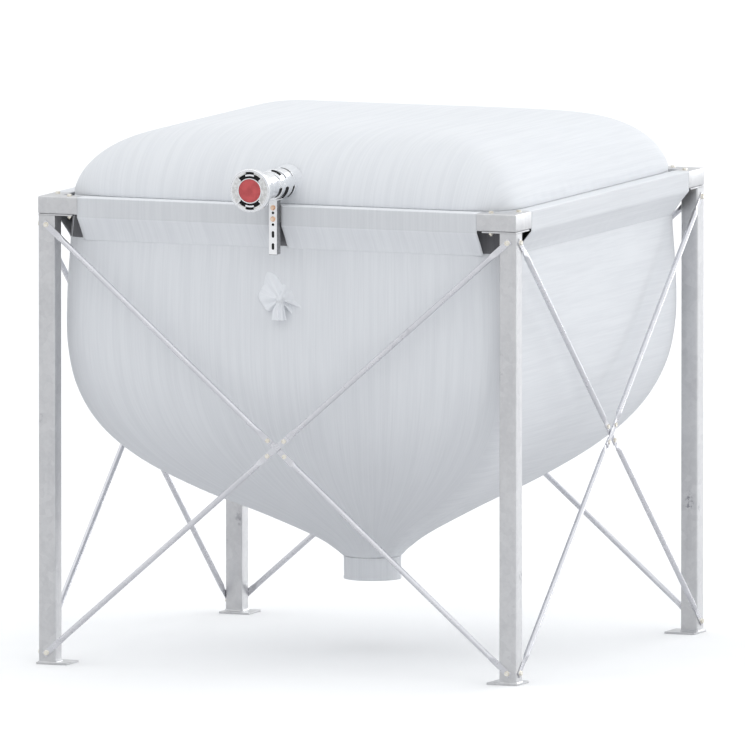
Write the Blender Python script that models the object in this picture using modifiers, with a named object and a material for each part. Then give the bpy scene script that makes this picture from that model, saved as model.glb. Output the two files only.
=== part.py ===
"""Pellet silo: a fabric bag with a domed roof, hung in a square frame of galvanised tube.

Metres, +Z up, the filling side towards -Y. The origin is on the ground, under the middle of the
silo's outer box, which the filling coupling makes longer to the front than the frame is.
"""

import math

import bmesh
import bpy

# Frame
SIDE = 2.000
HALF = SIDE / 2
FRAME_TOP = 1.833
GAP = 0.0003
TUBE = 0.070
TUBE_WALL = 0.003
FOOT_SIZE = 0.128
FOOT_PROUD = 0.008
FOOT_THICKNESS = 0.008
SLEEVE_HEIGHT = 0.069
SLEEVE_REACH = 0.163
HEAD_PLATE_REACH = 0.143
HEAD_PLATE_THICKNESS = 0.0057
RAIL_WIDTH = TUBE - 2 * TUBE_WALL - 2 * GAP
RAIL_HEIGHT = SLEEVE_HEIGHT - 2 * TUBE_WALL - 2 * GAP
RAIL_INSET = TUBE + 0.001

# Diagonal braces: round tube with flattened ends, joined by a flat strap at the crossing
BRACE_DIAMETER = 0.022
BRACE_FLAT_WIDTH = 0.027
BRACE_FLAT_THICKNESS = 0.004
BRACE_STRAP_WIDTH = 0.024
BRACE_TOP_BOLT = 0.111
BRACE_LOW_BOLT = 0.046
BRACE_END = 0.014
BRACE_FLAT_AT_COLUMN = 0.062
BRACE_TAPER = 0.036
BRACE_INNER_END = 0.030
BRACE_FLAT_AT_CROSSING = 0.075
BRACE_STRAP_REACH = 0.066
BRACE_CORNERS = 8

# Fabric
CLOTH = 0.0027
BAG_WALL = 0.004
BAG_HALF = 0.930
POCKET_DROP = 0.078
POCKET_SLOPE_DROP = 0.169
POCKET_HEM = 0.0043
POCKET_NOTCH = 0.039
SPOUT_RADIUS = 0.1135
SPOUT_TOP = 0.366
SPOUT_BOTTOM = 0.275
SPOUT_WALL = 0.003

# Half width of the bag against height, from the spout up over the bowl to the rails
BAG_PROFILE = (
    (SPOUT_RADIUS, SPOUT_TOP),
    (0.130, 0.392),
    (0.196, 0.450),
    (0.360, 0.550),
    (0.540, 0.650),
    (0.722, 0.780),
    (0.846, 0.920),
    (0.916, 1.080),
    (0.941, 1.260),
    (0.940, 1.460),
    (BAG_HALF, FRAME_TOP - POCKET_SLOPE_DROP),
    (BAG_HALF, FRAME_TOP - GAP),
)
BAG_STEPS = 2
BAG_SEGMENTS = 14
ROUND = 2.0
WALL_SQUARENESS = 20.0
ROOF_SQUARENESS = 14.0
SQUARE_FROM_HEIGHT = 1.25
SQUARE_RATE = 0.7

# Roof
ROOF_HEM = 0.008
ROOF_RISE = 0.252
ROOF_SHOULDER = 5.8
ROOF_SOFTNESS = 1.6
ROOF_RINGS = 12
ROOF_SEGMENTS = 48
ROOF_GATHER = 2.2

# Filling pipe, coupling and cap, on an axis along Y
PIPE_HEIGHT = 1.915
PIPE_RADIUS = 0.050
PIPE_WALL = 0.003
PIPE_INNER_END = 0.700
PIPE_OUTER_END = 0.930
LUG_RING_RADIUS = 0.061
LUG_RING_END = 0.985
COUPLING_RADIUS = 0.052
COUPLING_END = 1.250
COLLAR_RADIUS = 0.064
COLLAR_LENGTH = 0.012
CAP_RADIUS = 0.084
CAP_FRONT = 1.277
CAP_DISC_RADIUS = 0.048
CAP_RIM_RADIUS = 0.078
CAP_RIM_SETBACK = 0.001
CAP_CHAMFER = 0.004
TURNED_STEPS = 32

# Bracket that carries the coupling on the front rail
BRACKET_WIDTH = 0.035
BRACKET_FRONT = 1.035
BRACKET_BOTTOM = 1.645
BRACKET_WALL = 0.003
SADDLE_LENGTH = 0.060
SADDLE_THICKNESS = 0.004
SADDLE_TOP = PIPE_HEIGHT - COUPLING_RADIUS - GAP
BRACKET_TOP = SADDLE_TOP - SADDLE_THICKNESS / 2
BRACKET_HOLE = 0.011
BRACKET_SLOT = 0.026
BRACKET_ROUND_HOLES = (1.807, 1.761)
BRACKET_SLOTS = (1.723, 1.676)

# How far the frame's middle lies behind the origin
BRACE_FACE = HALF + GAP + BRACE_FLAT_THICKNESS / 2 + BRACE_DIAMETER / 2
FRAME_BACK = (CAP_FRONT - BRACE_FACE) / 2

# Tied sleeve on the front wall: its root on the wall, then rings gathered to a knot, and a skirt.
# A ring is its distance from the wall, height, radius, flatness and tilt in degrees from level.
TIED_X = -0.020
TIED_LEAN = -0.010
TIED_ROOT_Z = 1.530
TIED_ROOT_RADIUS = 0.085
TIED_SEGMENTS = 16
TIED_RINGS = (
    (0.017, 1.528, 0.073, 0.9, 80),
    (0.030, 1.508, 0.053, 0.8, 62),
    (0.038, 1.478, 0.031, 0.8, 40),
    (0.036, 1.450, 0.013, 1.0, 5),
    (0.034, 1.438, 0.014, 1.0, 0),
    (0.032, 1.416, 0.026, 0.7, 0),
    (0.030, 1.385, 0.036, 0.5, 0),
)

SIDES = {"front": 0, "right": 90, "back": 180, "left": 270}
CORNERS = {"front_right": 0, "back_right": 90, "back_left": 180, "front_left": 270}


def new_collection(name):
    collection = bpy.data.collections.new(name)
    bpy.context.scene.collection.children.link(collection)
    return collection


def make_material(name, colour, roughness, metallic):
    material = bpy.data.materials.new(name)
    material.use_nodes = True
    shader = material.node_tree.nodes["Principled BSDF"]
    shader.inputs["Base Color"].default_value = (*colour, 1.0)
    shader.inputs["Roughness"].default_value = roughness
    shader.inputs["Metallic"].default_value = metallic
    material.diffuse_color = (*colour, 1.0)
    return material


def add_object(name, data, material, collection, parent):
    """Puts mesh or curve data in the scene under a name, with its own material."""
    obj = bpy.data.objects.new(name, data)
    collection.objects.link(obj)
    if material and not data.materials:
        data.materials.append(material)
    obj.parent = parent
    return obj


def add_empty(name, location, turn, collection, parent=None):
    empty = bpy.data.objects.new(name, None)
    empty.location = location
    empty.rotation_euler.z = math.radians(turn)
    empty.parent = parent
    collection.objects.link(empty)
    return empty


def outline_curve(name, outlines, thickness):
    """A flat outline in XY, with any holes as further outlines, as thick as given along Z."""
    curve = bpy.data.curves.new(name, "CURVE")
    curve.dimensions = "2D"
    curve.fill_mode = "BOTH"
    curve.extrude = thickness / 2
    for outline in outlines:
        spline = curve.splines.new("POLY")
        spline.points.add(len(outline) - 1)
        for point, (x, y) in zip(spline.points, outline):
            point.co = (x, y, 0.0, 1.0)
        spline.use_cyclic_u = True
    return curve


def outline_mesh(name, outlines, thickness):
    """The same outline as a welded mesh, so that it can be cut."""
    source = bpy.data.objects.new(name + "_outline", outline_curve(name, outlines, thickness))
    bpy.context.scene.collection.objects.link(source)
    graph = bpy.context.evaluated_depsgraph_get()
    mesh = bpy.data.meshes.new_from_object(source.evaluated_get(graph))
    bpy.data.objects.remove(source)
    work = bmesh.new()
    work.from_mesh(mesh)
    bmesh.ops.remove_doubles(work, verts=work.verts, dist=0.00001)
    work.to_mesh(mesh)
    work.free()
    mesh.name = name
    return mesh


def rectangle(width, height, centre=(0.0, 0.0)):
    x, y = centre
    w, h = width / 2, height / 2
    return [(x - w, y - h), (x + w, y - h), (x + w, y + h), (x - w, y + h)]


def corner_outline(reach, width, edge):
    """An L on a corner at the origin, with arms along -X and +Y, set back by edge from its outer faces."""
    near, far = edge, width - edge
    return [(-near, near), (-near, reach), (-far, reach), (-far, far), (-reach, far), (-reach, near)]


def cut(obj, cutter):
    cutter.display_type = "WIRE"
    cutter.hide_render = True
    modifier = obj.modifiers.new("cut_" + cutter.name, "BOOLEAN")
    modifier.operation = "DIFFERENCE"
    modifier.object = cutter


def join_with(obj, other):
    other.display_type = "WIRE"
    other.hide_render = True
    modifier = obj.modifiers.new("join_" + other.name, "BOOLEAN")
    modifier.operation = "UNION"
    modifier.object = other


def shade_round(mesh):
    mesh.shade_smooth()
    mesh.set_sharp_from_angle(angle=math.radians(30))


def mesh_from_rings(name, rings):
    """A loft through rings of equal numbers of points, capped at both ends."""
    work = bmesh.new()
    loops = [[work.verts.new(point) for point in ring] for ring in rings]
    count = len(loops[0])
    for low, high in zip(loops, loops[1:]):
        for i in range(count):
            j = (i + 1) % count
            work.faces.new((low[i], low[j], high[j], high[i]))
    work.faces.new(list(reversed(loops[0])))
    work.faces.new(loops[-1])
    bmesh.ops.recalc_face_normals(work, faces=work.faces)
    mesh = bpy.data.meshes.new(name)
    work.to_mesh(mesh)
    work.free()
    shade_round(mesh)
    return mesh


def cylinder_mesh(name, radius, depth):
    work = bmesh.new()
    bmesh.ops.create_cone(
        work, cap_ends=True, segments=TURNED_STEPS, radius1=radius, radius2=radius, depth=depth)
    mesh = bpy.data.meshes.new(name)
    work.to_mesh(mesh)
    work.free()
    return mesh


def turned(name, profile, material, collection, parent, closed=True):
    """A profile of (radius, height) pairs, run down its outer side, turned about Z."""
    mesh = bpy.data.meshes.new(name)
    edges = [(i, i + 1) for i in range(len(profile) - 1)]
    if closed:
        edges.append((len(profile) - 1, 0))
    mesh.from_pydata([(radius, 0.0, height) for radius, height in profile], edges, [])
    obj = add_object(name, mesh, material, collection, parent)
    screw = obj.modifiers.new("turn", "SCREW")
    screw.steps = TURNED_STEPS
    screw.render_steps = TURNED_STEPS
    screw.use_merge_vertices = True
    screw.merge_threshold = 0.0001
    return obj


def smooth_profile(points, steps):
    """A curve through the points, with steps between each pair, whose slope is that of its neighbours."""
    curve = []
    for i in range(len(points) - 1):
        before = points[max(i - 1, 0)]
        start, end = points[i], points[i + 1]
        after = points[min(i + 2, len(points) - 1)]
        for k in range(steps):
            t = k / steps
            curve.append(tuple(
                0.5 * (2 * s + (e - b) * t + (2 * b - 5 * s + 4 * e - a) * t ** 2
                       + (3 * s - b - 3 * e + a) * t ** 3)
                for b, s, e, a in zip(before, start, end, after)
            ))
    curve.append(points[-1])
    return curve


def squareness(z):
    """Exponent of the bag's plan: 2 is a circle, and a high value is a square with small corners."""
    if z > SQUARE_FROM_HEIGHT:
        rail_foot = FRAME_TOP - POCKET_SLOPE_DROP
        share = min(max((z - rail_foot) / (FRAME_TOP - rail_foot), 0.0), 1.0)
        return WALL_SQUARENESS + (ROOF_SQUARENESS - WALL_SQUARENESS) * share
    share = max((z - SPOUT_TOP) / (SQUARE_FROM_HEIGHT - SPOUT_TOP), 0.0)
    return ROUND + (WALL_SQUARENESS - ROUND) * share ** SQUARE_RATE


def plan_point(half, exponent, angle):
    """A point of the plan at an angle from -Y, on a rounded square of this half width."""
    s, c = math.sin(angle), math.cos(angle)
    x = math.copysign(abs(s) ** (2 / exponent), s)
    y = -math.copysign(abs(c) ** (2 / exponent), c)
    return half * x, half * y


def panel_angles():
    """Angles from corner to corner of one side, closer together in the middle."""
    half = BAG_SEGMENTS // 2
    steps = [math.radians(45) * (k / half) ** 1.4 for k in range(half + 1)]
    return [-a for a in reversed(steps[1:])] + steps


def bag_panel_mesh(name):
    """The front quarter of the bag, from the spout to the top of the rail, as a thin shell."""
    profile = smooth_profile(BAG_PROFILE, BAG_STEPS)
    last = len(profile) - 1
    rings = []
    for i, (half, z) in enumerate(profile):
        (a0, z0), (a1, z1) = profile[max(i - 1, 0)], profile[min(i + 1, last)]
        length = math.hypot(a1 - a0, z1 - z0)
        out, down = (z1 - z0) / length, (a1 - a0) / length
        if i in (0, last):
            out, down = 1.0, 0.0
        exponent = squareness(z)
        outer, inner = [], []
        angles = panel_angles()
        for k, angle in enumerate(angles):
            side_gap = GAP if k in (0, len(angles) - 1) else 0.0
            for ring, a, height in ((outer, half, z), (inner, half - BAG_WALL * out, z + BAG_WALL * down)):
                x, y = plan_point(a, exponent, angle)
                ring.append((x - math.copysign(side_gap, x), y, height))
        rings.append(outer + list(reversed(inner)))
    return mesh_from_rings(name, rings)


def pocket_outline():
    """Section of the fabric that wraps a rail: over the top, down the face and back to the bag."""
    inner_y = -(BAG_HALF + 2 * GAP)
    face = -(HALF - TUBE_WALL)
    top = FRAME_TOP - TUBE_WALL
    drop = FRAME_TOP - POCKET_DROP
    foot = FRAME_TOP - POCKET_SLOPE_DROP
    return [
        (inner_y, top), (face, top), (face, drop), (inner_y, foot),
        (inner_y, foot - POCKET_HEM), (face - CLOTH, drop - CLOTH / 2), (face - CLOTH, FRAME_TOP),
        (inner_y, FRAME_TOP),
    ]


def notch_outline():
    """Section of the cut that bares the rail's face for the bracket and parts the sloping flap."""
    front, behind = -HALF - TUBE, -HALF + 2 * TUBE
    above, below = FRAME_TOP + TUBE, FRAME_TOP - 3 * TUBE
    face, face_top = GAP / 2 - HALF + TUBE_WALL, FRAME_TOP - 2 * TUBE_WALL
    return [
        (front, above), (front, below), (behind, below),
        (behind, face_top), (face, face_top), (face, above),
    ]


def brace_ring(s, width, back, front, exponent):
    """Section of a brace at s along it, between two depths in front of the column face."""
    ring = []
    middle, half_depth = (back + front) / 2, (front - back) / 2
    for k in range(BRACE_CORNERS):
        angle = math.radians(45) + 2 * math.pi * k / BRACE_CORNERS
        c, d = math.cos(angle), math.sin(angle)
        ring.append((
            s,
            -(middle + half_depth * math.copysign(abs(d) ** (2 / exponent), d)),
            width / 2 * math.copysign(abs(c) ** (2 / exponent), c),
        ))
    return ring


def brace_mesh(name, half_length, strap_in_front):
    """A diagonal between two bolts, along X, its flat ends lying on the plane y = 0."""
    flat, thick = 12.0, BRACE_FLAT_THICKNESS
    middle, radius = thick / 2, BRACE_DIAMETER / 2
    tab = (BRACE_FLAT_WIDTH, 0.0, thick, flat)
    tube = (BRACE_DIAMETER, middle - radius, middle + radius, ROUND)
    if strap_in_front:
        strap = (BRACE_STRAP_WIDTH, thick, 2 * thick, flat)
        lapped = (BRACE_FLAT_WIDTH, 0.0, 2 * thick, flat)
    else:
        strap = (BRACE_STRAP_WIDTH, -thick, 0.0, flat)
        lapped = (BRACE_FLAT_WIDTH, -thick, thick, flat)
    step = 0.0005
    stations = [
        (half_length + BRACE_END, tab),
        (half_length - BRACE_FLAT_AT_COLUMN, tab),
        (half_length - BRACE_FLAT_AT_COLUMN - BRACE_TAPER, tube),
        (BRACE_FLAT_AT_CROSSING + BRACE_TAPER, tube),
        (BRACE_FLAT_AT_CROSSING, tab),
        (BRACE_STRAP_REACH + step, tab),
        (BRACE_STRAP_REACH, lapped),
        (BRACE_INNER_END, lapped),
        (BRACE_INNER_END - step, strap),
    ]
    rings = [brace_ring(s, *section) for s, section in stations]
    rings += [brace_ring(-s, *section) for s, section in reversed(stations)]
    return mesh_from_rings(name, rings)


def build_corner(name, turn, steel, shared, part, silo):
    """One column with its foot, its head plate and the sleeve that takes two rails."""
    x = HALF if "right" in name else -HALF
    y = HALF if "back" in name else -HALF
    corner = add_empty("corner_" + name, (x, y, 0.0), turn, part, silo)
    column_bottom = FOOT_THICKNESS + GAP
    sleeve_bottom = FRAME_TOP - SLEEVE_HEIGHT
    plate_bottom = sleeve_bottom - GAP - HEAD_PLATE_THICKNESS
    column_top = plate_bottom - GAP
    foot = add_object("foot_plate_" + name, shared["foot"], steel, part, corner)
    foot.location.z = FOOT_THICKNESS / 2
    column = add_object("column_" + name, shared["column"], steel, part, corner)
    column.location = (-TUBE / 2, TUBE / 2, (column_bottom + column_top) / 2)
    plate = add_object("head_plate_" + name, shared["head_plate"], steel, part, corner)
    plate.location.z = plate_bottom + HEAD_PLATE_THICKNESS / 2
    sleeve = add_object("corner_sleeve_" + name, shared["sleeve"], steel, part, corner)
    sleeve.location.z = sleeve_bottom + SLEEVE_HEIGHT / 2
    bore = add_object("bore_" + name, shared["bore"], None, shared["cutters"], corner)
    bore.location.z = sleeve.location.z
    cut(sleeve, bore)


def build_side(name, turn, steel, cloth, shared, part, silo):
    """One rail, the fabric pocket round it, its quarter of the bag and its two braces."""
    side = add_empty("side_" + name, (0.0, 0.0, 0.0), turn, part, silo)
    rail = add_object("rail_" + name, shared["rail"], steel, part, side)
    rail.location = (0.0, -HALF + TUBE / 2, FRAME_TOP - SLEEVE_HEIGHT / 2)
    rail.rotation_euler = (math.radians(90), 0.0, math.radians(90))
    pocket = add_object("rail_pocket_" + name, shared["pocket"], cloth, part, side)
    pocket.rotation_euler = (math.radians(90), 0.0, math.radians(90))
    if name == "front":
        notch = outline_mesh("bracket_notch", [notch_outline()], POCKET_NOTCH)
        notch_cutter = add_object("bracket_notch", notch, None, shared["cutters"], side)
        notch_cutter.rotation_euler = pocket.rotation_euler
        cut(pocket, notch_cutter)
    add_object("bag_wall_" + name, shared["panel"], cloth, part, side)
    reach = HALF - TUBE / 2
    top, low = FRAME_TOP - BRACE_TOP_BOLT, BRACE_LOW_BOLT
    slope = math.atan2(top - low, 2 * reach)
    for kind, tilt in (("rising", -slope), ("falling", slope)):
        brace = add_object(f"brace_{name}_{kind}", shared[kind], steel, part, side)
        brace.location = (0.0, -HALF - GAP, (top + low) / 2)
        brace.rotation_euler.y = tilt


def build_roof(cloth, cutters, part, silo):
    """The domed cover: a thin shell on the top edge of the bag, with a hole for the filling pipe."""
    work = bmesh.new()
    loops = []
    hem_top = FRAME_TOP + GAP + ROOF_HEM
    centre = work.verts.new((0.0, 0.0, hem_top + ROOF_RISE))
    for k in range(1, ROOF_RINGS + 1):
        reach = 1 - (1 - k / ROOF_RINGS) ** ROOF_GATHER
        rise = ROOF_RISE * (1 - reach ** ROOF_SHOULDER) ** (1 / ROOF_SOFTNESS)
        loop = []
        for i in range(ROOF_SEGMENTS):
            x, y = plan_point(BAG_HALF * reach, ROOF_SQUARENESS, 2 * math.pi * i / ROOF_SEGMENTS)
            loop.append(work.verts.new((x, y, hem_top + rise)))
        loops.append(loop)
    loops.append([work.verts.new((vert.co.x, vert.co.y, hem_top - ROOF_HEM)) for vert in loops[-1]])
    for i in range(ROOF_SEGMENTS):
        j = (i + 1) % ROOF_SEGMENTS
        work.faces.new((centre, loops[0][i], loops[0][j]))
        for inside, outside in zip(loops, loops[1:]):
            work.faces.new((inside[i], outside[i], outside[j], inside[j]))
    mesh = bpy.data.meshes.new("roof_cover")
    work.to_mesh(mesh)
    work.free()
    shade_round(mesh)
    roof = add_object("roof_cover", mesh, cloth, part, silo)
    shell = roof.modifiers.new("cloth", "SOLIDIFY")
    shell.thickness = BAG_WALL
    shell.offset = -1.0
    cutter = cylinder_mesh("pipe_hole", PIPE_RADIUS + GAP, 2 * (PIPE_OUTER_END - PIPE_INNER_END))
    hole = add_object("pipe_hole", cutter, None, cutters, silo)
    hole.location = (0.0, -(PIPE_INNER_END + PIPE_OUTER_END) / 2, PIPE_HEIGHT)
    hole.rotation_euler.x = math.radians(90)
    cut(roof, hole)


def build_filler(aluminium, steel, cutters, part, silo):
    """Filling pipe, coupling and cap, lying along Y, and the bracket under them."""
    axis = add_empty("filler_axis", (0.0, 0.0, PIPE_HEIGHT), 0, part, silo)
    axis.rotation_euler.x = math.radians(90)
    bore = PIPE_RADIUS - PIPE_WALL
    turned("filler_pipe", [
        (PIPE_RADIUS, PIPE_OUTER_END), (PIPE_RADIUS, PIPE_INNER_END),
        (bore, PIPE_INNER_END), (bore, PIPE_OUTER_END),
    ], aluminium, part, axis)
    start = PIPE_OUTER_END + GAP
    collar_back = COUPLING_END - COLLAR_LENGTH
    turned("filler_coupling", [
        (COLLAR_RADIUS, COUPLING_END), (COLLAR_RADIUS, collar_back),
        (COUPLING_RADIUS, collar_back - COLLAR_LENGTH), (COUPLING_RADIUS, LUG_RING_END),
        (LUG_RING_RADIUS, LUG_RING_END), (LUG_RING_RADIUS, start), (bore, start), (bore, COUPLING_END),
    ], aluminium, part, axis)
    well, rim = CAP_FRONT - CAP_CHAMFER, CAP_FRONT - CAP_RIM_SETBACK
    back = COUPLING_END + GAP
    turned("filler_cap", [
        (0.0, CAP_FRONT), (CAP_DISC_RADIUS, CAP_FRONT), (CAP_DISC_RADIUS + CAP_CHAMFER, well),
        (CAP_RIM_RADIUS - CAP_CHAMFER, well), (CAP_RIM_RADIUS, rim), (CAP_RADIUS - CAP_CHAMFER, rim),
        (CAP_RADIUS, rim - CAP_CHAMFER), (CAP_RADIUS, back + CAP_CHAMFER),
        (CAP_RADIUS - CAP_CHAMFER, back), (0.0, back),
    ], aluminium, part, axis, closed=False)
    build_bracket(steel, cutters, part, silo)


def build_bracket(steel, cutters, part, silo):
    """A perforated channel on the rail's face, open to the back, with a saddle plate on top."""
    back = TUBE_WALL - HALF - GAP
    front, web = -BRACKET_FRONT, BRACKET_WALL - BRACKET_FRONT
    outer, inner = BRACKET_WIDTH / 2, BRACKET_WIDTH / 2 - BRACKET_WALL
    channel = outline_mesh("pipe_bracket", [[
        (-outer, back), (-outer, front), (outer, front), (outer, back),
        (inner, back), (inner, web), (-inner, web), (-inner, back),
    ]], BRACKET_TOP - BRACKET_BOTTOM)
    bracket = add_object("pipe_bracket", channel, steel, part, silo)
    bracket.location.z = (BRACKET_TOP + BRACKET_BOTTOM) / 2
    for z in BRACKET_ROUND_HOLES:
        add_bracket_hole(bracket, cutters, z, BRACKET_HOLE, silo)
    for z in BRACKET_SLOTS:
        add_bracket_hole(bracket, cutters, z, BRACKET_SLOT, silo)
    saddle = outline_mesh("saddle", [rectangle(SADDLE_LENGTH, SADDLE_LENGTH)], SADDLE_THICKNESS)
    plate = add_object("saddle", saddle, None, cutters, silo)
    plate.location = (0.0, -BRACKET_FRONT, SADDLE_TOP - SADDLE_THICKNESS / 2)
    join_with(bracket, plate)


def add_bracket_hole(bracket, cutters, z, height, silo):
    """A round hole, or an upright slot when it is higher than it is wide."""
    radius = BRACKET_HOLE / 2
    rise = height / 2 - radius
    arc = [math.radians(22.5 + 45 * k) for k in range(8)]
    outline = [(radius * math.cos(a), radius * math.sin(a) + math.copysign(rise, math.sin(a))) for a in arc]
    mesh = outline_mesh("bracket_hole", [outline], 4 * BRACKET_WALL)
    hole = add_object(f"bracket_hole_{round(z * 1000)}", mesh, None, cutters, silo)
    hole.location = (0.0, -BRACKET_FRONT, z)
    hole.rotation_euler.x = math.radians(90)
    cut(bracket, hole)


def bag_half_at(z):
    """Half width of the bag at a height, along its faceted wall."""
    profile = smooth_profile(BAG_PROFILE, BAG_STEPS)
    for (a0, z0), (a1, z1) in zip(profile, profile[1:]):
        if z0 <= z <= z1:
            return a0 + (a1 - a0) * (z - z0) / (z1 - z0)
    return BAG_HALF


def build_tied_sleeve(cloth, part, silo):
    """A cloth sleeve on the front wall, gathered to a knot with a short skirt below it."""
    turns = [2 * math.pi * k / TIED_SEGMENTS for k in range(TIED_SEGMENTS)]
    root = []
    for turn in turns:
        x = TIED_X + TIED_ROOT_RADIUS * math.cos(turn)
        z = TIED_ROOT_Z + TIED_ROOT_RADIUS * math.sin(turn)
        root.append((x, -bag_half_at(z) - 2 * GAP, z))
    rings = [root]
    wall = bag_half_at(TIED_ROOT_Z)
    for out, z, radius, flatness, tilt in TIED_RINGS:
        lean = math.radians(tilt)
        middle = TIED_X + TIED_LEAN * min((TIED_ROOT_Z - z) / TIED_ROOT_RADIUS, 1.0)
        ring = []
        for turn in turns:
            along = flatness * radius * math.sin(turn)
            ring.append((
                middle + radius * math.cos(turn),
                -wall - out - along * math.cos(lean),
                z + along * math.sin(lean),
            ))
        rings.append(ring)
    add_object("tied_sleeve", mesh_from_rings("tied_sleeve", rings), cloth, part, silo)


def shared_meshes(cutters):
    """Outlines and lofts that repeat at each corner or side."""
    sleeve_bottom = FRAME_TOP - SLEEVE_HEIGHT
    column_length = sleeve_bottom - HEAD_PLATE_THICKNESS - FOOT_THICKNESS - 3 * GAP
    bore = TUBE - 2 * TUBE_WALL
    reach = HALF - TUBE / 2
    rise = (FRAME_TOP - BRACE_TOP_BOLT - BRACE_LOW_BOLT) / 2
    half_length = math.hypot(reach, rise)
    foot_centre = (FOOT_PROUD - FOOT_SIZE / 2, FOOT_SIZE / 2 - FOOT_PROUD)
    rail_length = SIDE - 2 * RAIL_INSET
    return {
        "cutters": cutters,
        "foot": outline_curve("foot_plate", [rectangle(FOOT_SIZE, FOOT_SIZE, foot_centre)], FOOT_THICKNESS),
        "column": outline_curve("column", [rectangle(TUBE, TUBE), rectangle(bore, bore)], column_length),
        "head_plate": outline_curve(
            "head_plate", [corner_outline(HEAD_PLATE_REACH, TUBE, 0.0)], HEAD_PLATE_THICKNESS),
        "sleeve": outline_mesh("corner_sleeve", [corner_outline(SLEEVE_REACH, TUBE, 0.0)], SLEEVE_HEIGHT),
        "bore": outline_mesh(
            "sleeve_bore", [corner_outline(SLEEVE_REACH + TUBE, TUBE, TUBE_WALL)],
            SLEEVE_HEIGHT - 2 * TUBE_WALL),
        "rail": outline_curve("rail", [
            rectangle(RAIL_WIDTH, RAIL_HEIGHT),
            rectangle(RAIL_WIDTH - 2 * TUBE_WALL, RAIL_HEIGHT - 2 * TUBE_WALL),
        ], rail_length),
        "pocket": outline_mesh("rail_pocket", [pocket_outline()], SIDE - 2 * SLEEVE_REACH - 2 * GAP),
        "panel": bag_panel_mesh("bag_wall"),
        "rising": brace_mesh("brace_rising", half_length, True),
        "falling": brace_mesh("brace_falling", half_length, False),
    }


def main():
    for obj in list(bpy.data.objects):
        bpy.data.objects.remove(obj)
    part = new_collection("pellet_silo")
    cutters = new_collection("cutters")
    steel = make_material("galvanised_steel", (0.62, 0.63, 0.65), 0.42, 0.9)
    cloth = make_material("woven_fabric", (0.80, 0.82, 0.84), 0.80, 0.0)
    aluminium = make_material("aluminium", (0.86, 0.87, 0.88), 0.18, 1.0)
    silo = add_empty("silo", (0.0, FRAME_BACK, 0.0), 0, part)
    shared = shared_meshes(cutters)
    for name, turn in CORNERS.items():
        build_corner(name, turn, steel, shared, part, silo)
    for name, turn in SIDES.items():
        build_side(name, turn, steel, cloth, shared, part, silo)
    spout_inside = SPOUT_RADIUS - SPOUT_WALL
    spout_top = SPOUT_TOP - GAP
    turned("outlet_spout", [
        (SPOUT_RADIUS, spout_top), (SPOUT_RADIUS, SPOUT_BOTTOM),
        (spout_inside, SPOUT_BOTTOM), (spout_inside, spout_top),
    ], cloth, part, silo)
    build_roof(cloth, cutters, part, silo)
    build_filler(aluminium, steel, cutters, part, silo)
    build_tied_sleeve(cloth, part, silo)


main()
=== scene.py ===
"""Looks of the pellet silo: a fabric bag with a domed roof, hung in a square galvanised frame.

Metres, +Z up, the filling side towards -Y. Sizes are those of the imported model, whose frame is
loaded first and stays as it is.
"""

import logging
import math
from dataclasses import dataclass, field
from enum import Enum
from typing import Callable, Iterable, Optional, Sequence

import bmesh
import bpy
from mathutils import Matrix, Vector, noise


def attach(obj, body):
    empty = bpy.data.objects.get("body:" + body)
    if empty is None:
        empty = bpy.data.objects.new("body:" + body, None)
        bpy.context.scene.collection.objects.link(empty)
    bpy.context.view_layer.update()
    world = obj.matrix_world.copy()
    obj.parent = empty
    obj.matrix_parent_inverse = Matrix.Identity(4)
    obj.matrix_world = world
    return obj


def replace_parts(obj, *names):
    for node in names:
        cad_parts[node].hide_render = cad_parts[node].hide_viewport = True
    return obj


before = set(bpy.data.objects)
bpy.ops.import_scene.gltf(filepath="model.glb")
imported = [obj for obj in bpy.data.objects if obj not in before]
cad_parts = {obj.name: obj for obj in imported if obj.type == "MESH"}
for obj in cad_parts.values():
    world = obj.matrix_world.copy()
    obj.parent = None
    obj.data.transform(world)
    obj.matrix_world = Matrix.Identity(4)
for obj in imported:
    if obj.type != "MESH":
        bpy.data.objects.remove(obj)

log = logging.getLogger("pellet_silo")

Point = tuple[float, float, float]
Flat = tuple[float, float]
Colour = tuple[float, float, float]

# Half the frame's outer side, its top, its square tube, and how far its middle lies behind the origin.
HALF = 1.000
FRAME_TOP = 1.833
TUBE = 0.070
TUBE_WALL = 0.003
FRAME_BACK = 0.13185

# Corner sleeves and the plates under them, and the gap between pieces that touch.
SLEEVE_HEIGHT = 0.069
SLEEVE_REACH = 0.163
HEAD_PLATE = 0.0057
GAP = 0.0003

# From the frame's top down to the crease where a pocket leaves the rail's face.
POCKET_DROP = 0.078

# The filling coupling's axis and the radius of its body.
COUPLING_HEIGHT = 1.915
COUPLING_BODY = 0.052

# Turns a piece drawn up Z to point out of the front.
OUTWARD = Matrix.Rotation(math.radians(90), 4, "X")


class Side(Enum):
    """A side of the frame, with its turn about Z in degrees from the front."""

    FRONT = 0
    RIGHT = 90
    BACK = 180
    LEFT = 270

    def place(self) -> Matrix:
        """Placement of a side drawn as the front one, with the frame's middle at zero."""
        return Matrix.Translation((0.0, FRAME_BACK, 0.0)) @ Matrix.Rotation(math.radians(self.value), 4, "Z")


class Corner(Enum):
    """A corner of the frame, with its turn about Z in degrees from the front right one."""

    FRONT_RIGHT = 0
    BACK_RIGHT = 90
    BACK_LEFT = 180
    FRONT_LEFT = 270

    def place(self) -> Matrix:
        """Placement of a corner drawn with its arms along -X and +Y, its outer edge at zero."""
        x = HALF if "RIGHT" in self.name else -HALF
        y = HALF if "BACK" in self.name else -HALF
        turn = Matrix.Rotation(math.radians(self.value), 4, "Z")
        return Matrix.Translation((x, y + FRAME_BACK, 0.0)) @ turn


class Edge(Enum):
    """How the edges of a piece are shaded: the angle in degrees from which they are sharp."""

    SOFT = 180
    CRISP = 32


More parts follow.
